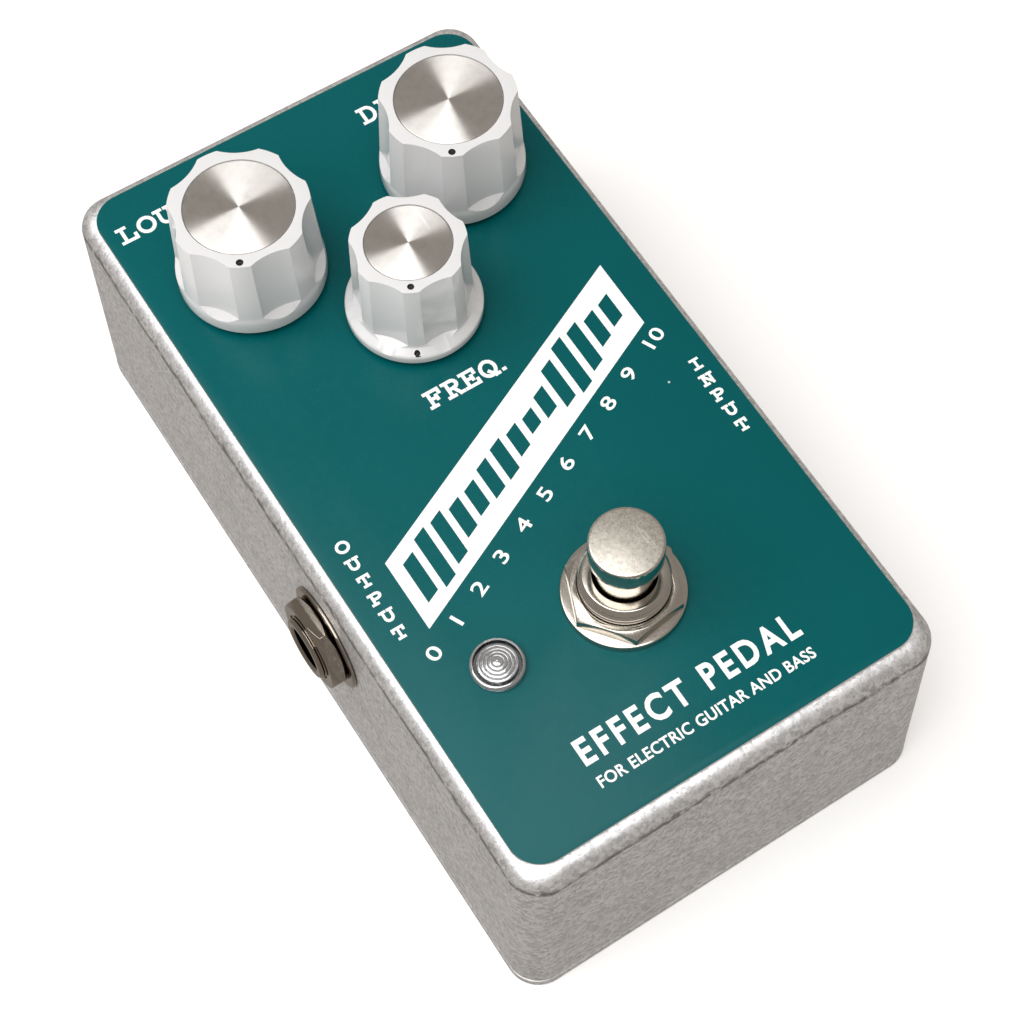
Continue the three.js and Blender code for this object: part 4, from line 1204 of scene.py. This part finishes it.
# %% Moulded plastics, board and wires
def moulded(name, color, rough, mottle=0.12, scale=900.0, depth=0.01):
    material, bench, shader, place = finish_of(name, color, rough=rough)
    speckle = use(bench, grain, place, Facets_per_metre=scale, Pits=0.1)
    bench.feed(bench.mix(speckle["Tone"], tinted(color, 1 - mottle), tinted(color, 1 + mottle)),
               shader.inputs["Base Color"])
    bench.feed(bench.ramp(speckle["Tone"], 0.2, 0.8, rough * 1.15, rough * 0.85),
               shader.inputs["Roughness"])
    bump(bench, shader, speckle["Height"], depth, 0.5)
    return material


for slot, color, rough in (("inlet_plastic", (0.02, 0.02, 0.021), 0.4),
                           ("switch_plastic", (0.02, 0.11, 0.32), 0.42),
                           ("phenolic", (0.24, 0.12, 0.05), 0.55),
                           ("board_green", (0.02, 0.16, 0.06), 0.35),
                           ("chip_black", (0.02, 0.02, 0.02), 0.5),
                           ("drum_black", (0.025, 0.025, 0.03), 0.32),
                           ("film_red", (0.42, 0.03, 0.02), 0.3),
                           ("wire_yellow", (0.68, 0.5, 0.04), 0.4),
                           ("wire_green", (0.03, 0.3, 0.08), 0.4),
                           ("wire_red", (0.5, 0.03, 0.03), 0.4)):
    FINISHES[slot] = moulded(f"{slot}_finish", color, rough)

# %% Every piece and node gets its finish
print_pieces = ("printed_labels", "printed_band", "printed_scale", "printed_title",
                "printed_subtitle")
node_slots = {part["node"]: part["material_slot"] for part in frame["record"]["subparts"]}
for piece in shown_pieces():
    slot = piece.get("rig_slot") or node_slots[piece.name]
    mesh = piece.data
    if piece.name in print_pieces:
        chosen = [FINISHES["ink"]]
    elif slot == "knob_aluminium":
        chosen = [FINISHES["disc_" + piece.name.split("_")[0]]]
    elif piece.name == "switch_button":
        chosen = [FINISHES["button"]]
    elif slot == "knob_plastic":
        chosen = [FINISHES["knob_plastic"], FINISHES["pointer"]]
    else:
        chosen = [FINISHES[slot]]
    for index, material in enumerate(chosen):
        if index < len(mesh.materials):
            mesh.materials[index] = material
        else:
            mesh.materials.append(material)

# %% [markdown]
# ## The studio
#
# A pale floor, two soft panels high up on the left, and a dim warm room around them. The
# wedge of light on each spun disc starts and ends where the panels do: the right edge of the
# broad one sets one side of the wedge, and the strip behind it sets the other. Nickel and
# cast metal would turn white if they mirrored the floor, so the floor is left out of
# reflections and they mirror the room. It glows faintly, which keeps shadows on it light.

# %% Floor, panels and room
FLOOR_GLOW = 0.12
let_go()
bpy.ops.mesh.primitive_plane_add(size=6, location=(0, 0, 0))
floor = named("studio_floor")
material, bench, shader, place = finish_of("pale_floor", (0.93, 0.93, 0.93), rough=0.9)
bench.feed(bench.mix(bench.noise(place, 3, 2), (0.92, 0.92, 0.92, 1), (0.94, 0.94, 0.94, 1)),
           shader.inputs["Base Color"])
floor.data.materials.append(material)
floor.visible_glossy = False
shader.inputs["Emission Color"].default_value = (1, 1, 1, 1)
shader.inputs["Emission Strength"].default_value = FLOOR_GLOW
floor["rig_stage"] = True


def panel(name, centre, size, power, turn):
    """A soft box that faces straight down, turned about the vertical."""
    bpy.ops.object.light_add(type="AREA", location=centre)
    lamp = bpy.context.object
    lamp.name = name
    lamp.data.shape = "RECTANGLE"
    lamp.data.size, lamp.data.size_y = size
    lamp.data.energy = power
    lamp.rotation_euler = (0, 0, math.radians(turn))


panel("overhead_panel", (-0.48, -0.135, 0.88), (1.26, 0.93), 12, turn=-3)
panel("rear_strip_panel", (-0.69, 0.51, 0.88), (1.02, 0.36), 4.2, turn=-8)

world = bpy.data.worlds.new("dim_room")
bpy.context.scene.world = world
world.use_nodes = True
world.node_tree.nodes["Background"].inputs["Color"].default_value = (0.36, 0.33, 0.30, 1)
world.node_tree.nodes["Background"].inputs["Strength"].default_value = 1.0
bpy.context.scene.view_settings.view_transform = "Standard"

# %% Sizes and the end
let_go()
drawn_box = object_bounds()
drawn_size = Vector(drawn_box[1]) - Vector(drawn_box[0])
print("drawn size, mm:", [round(value / MM, 2) for value in drawn_size])
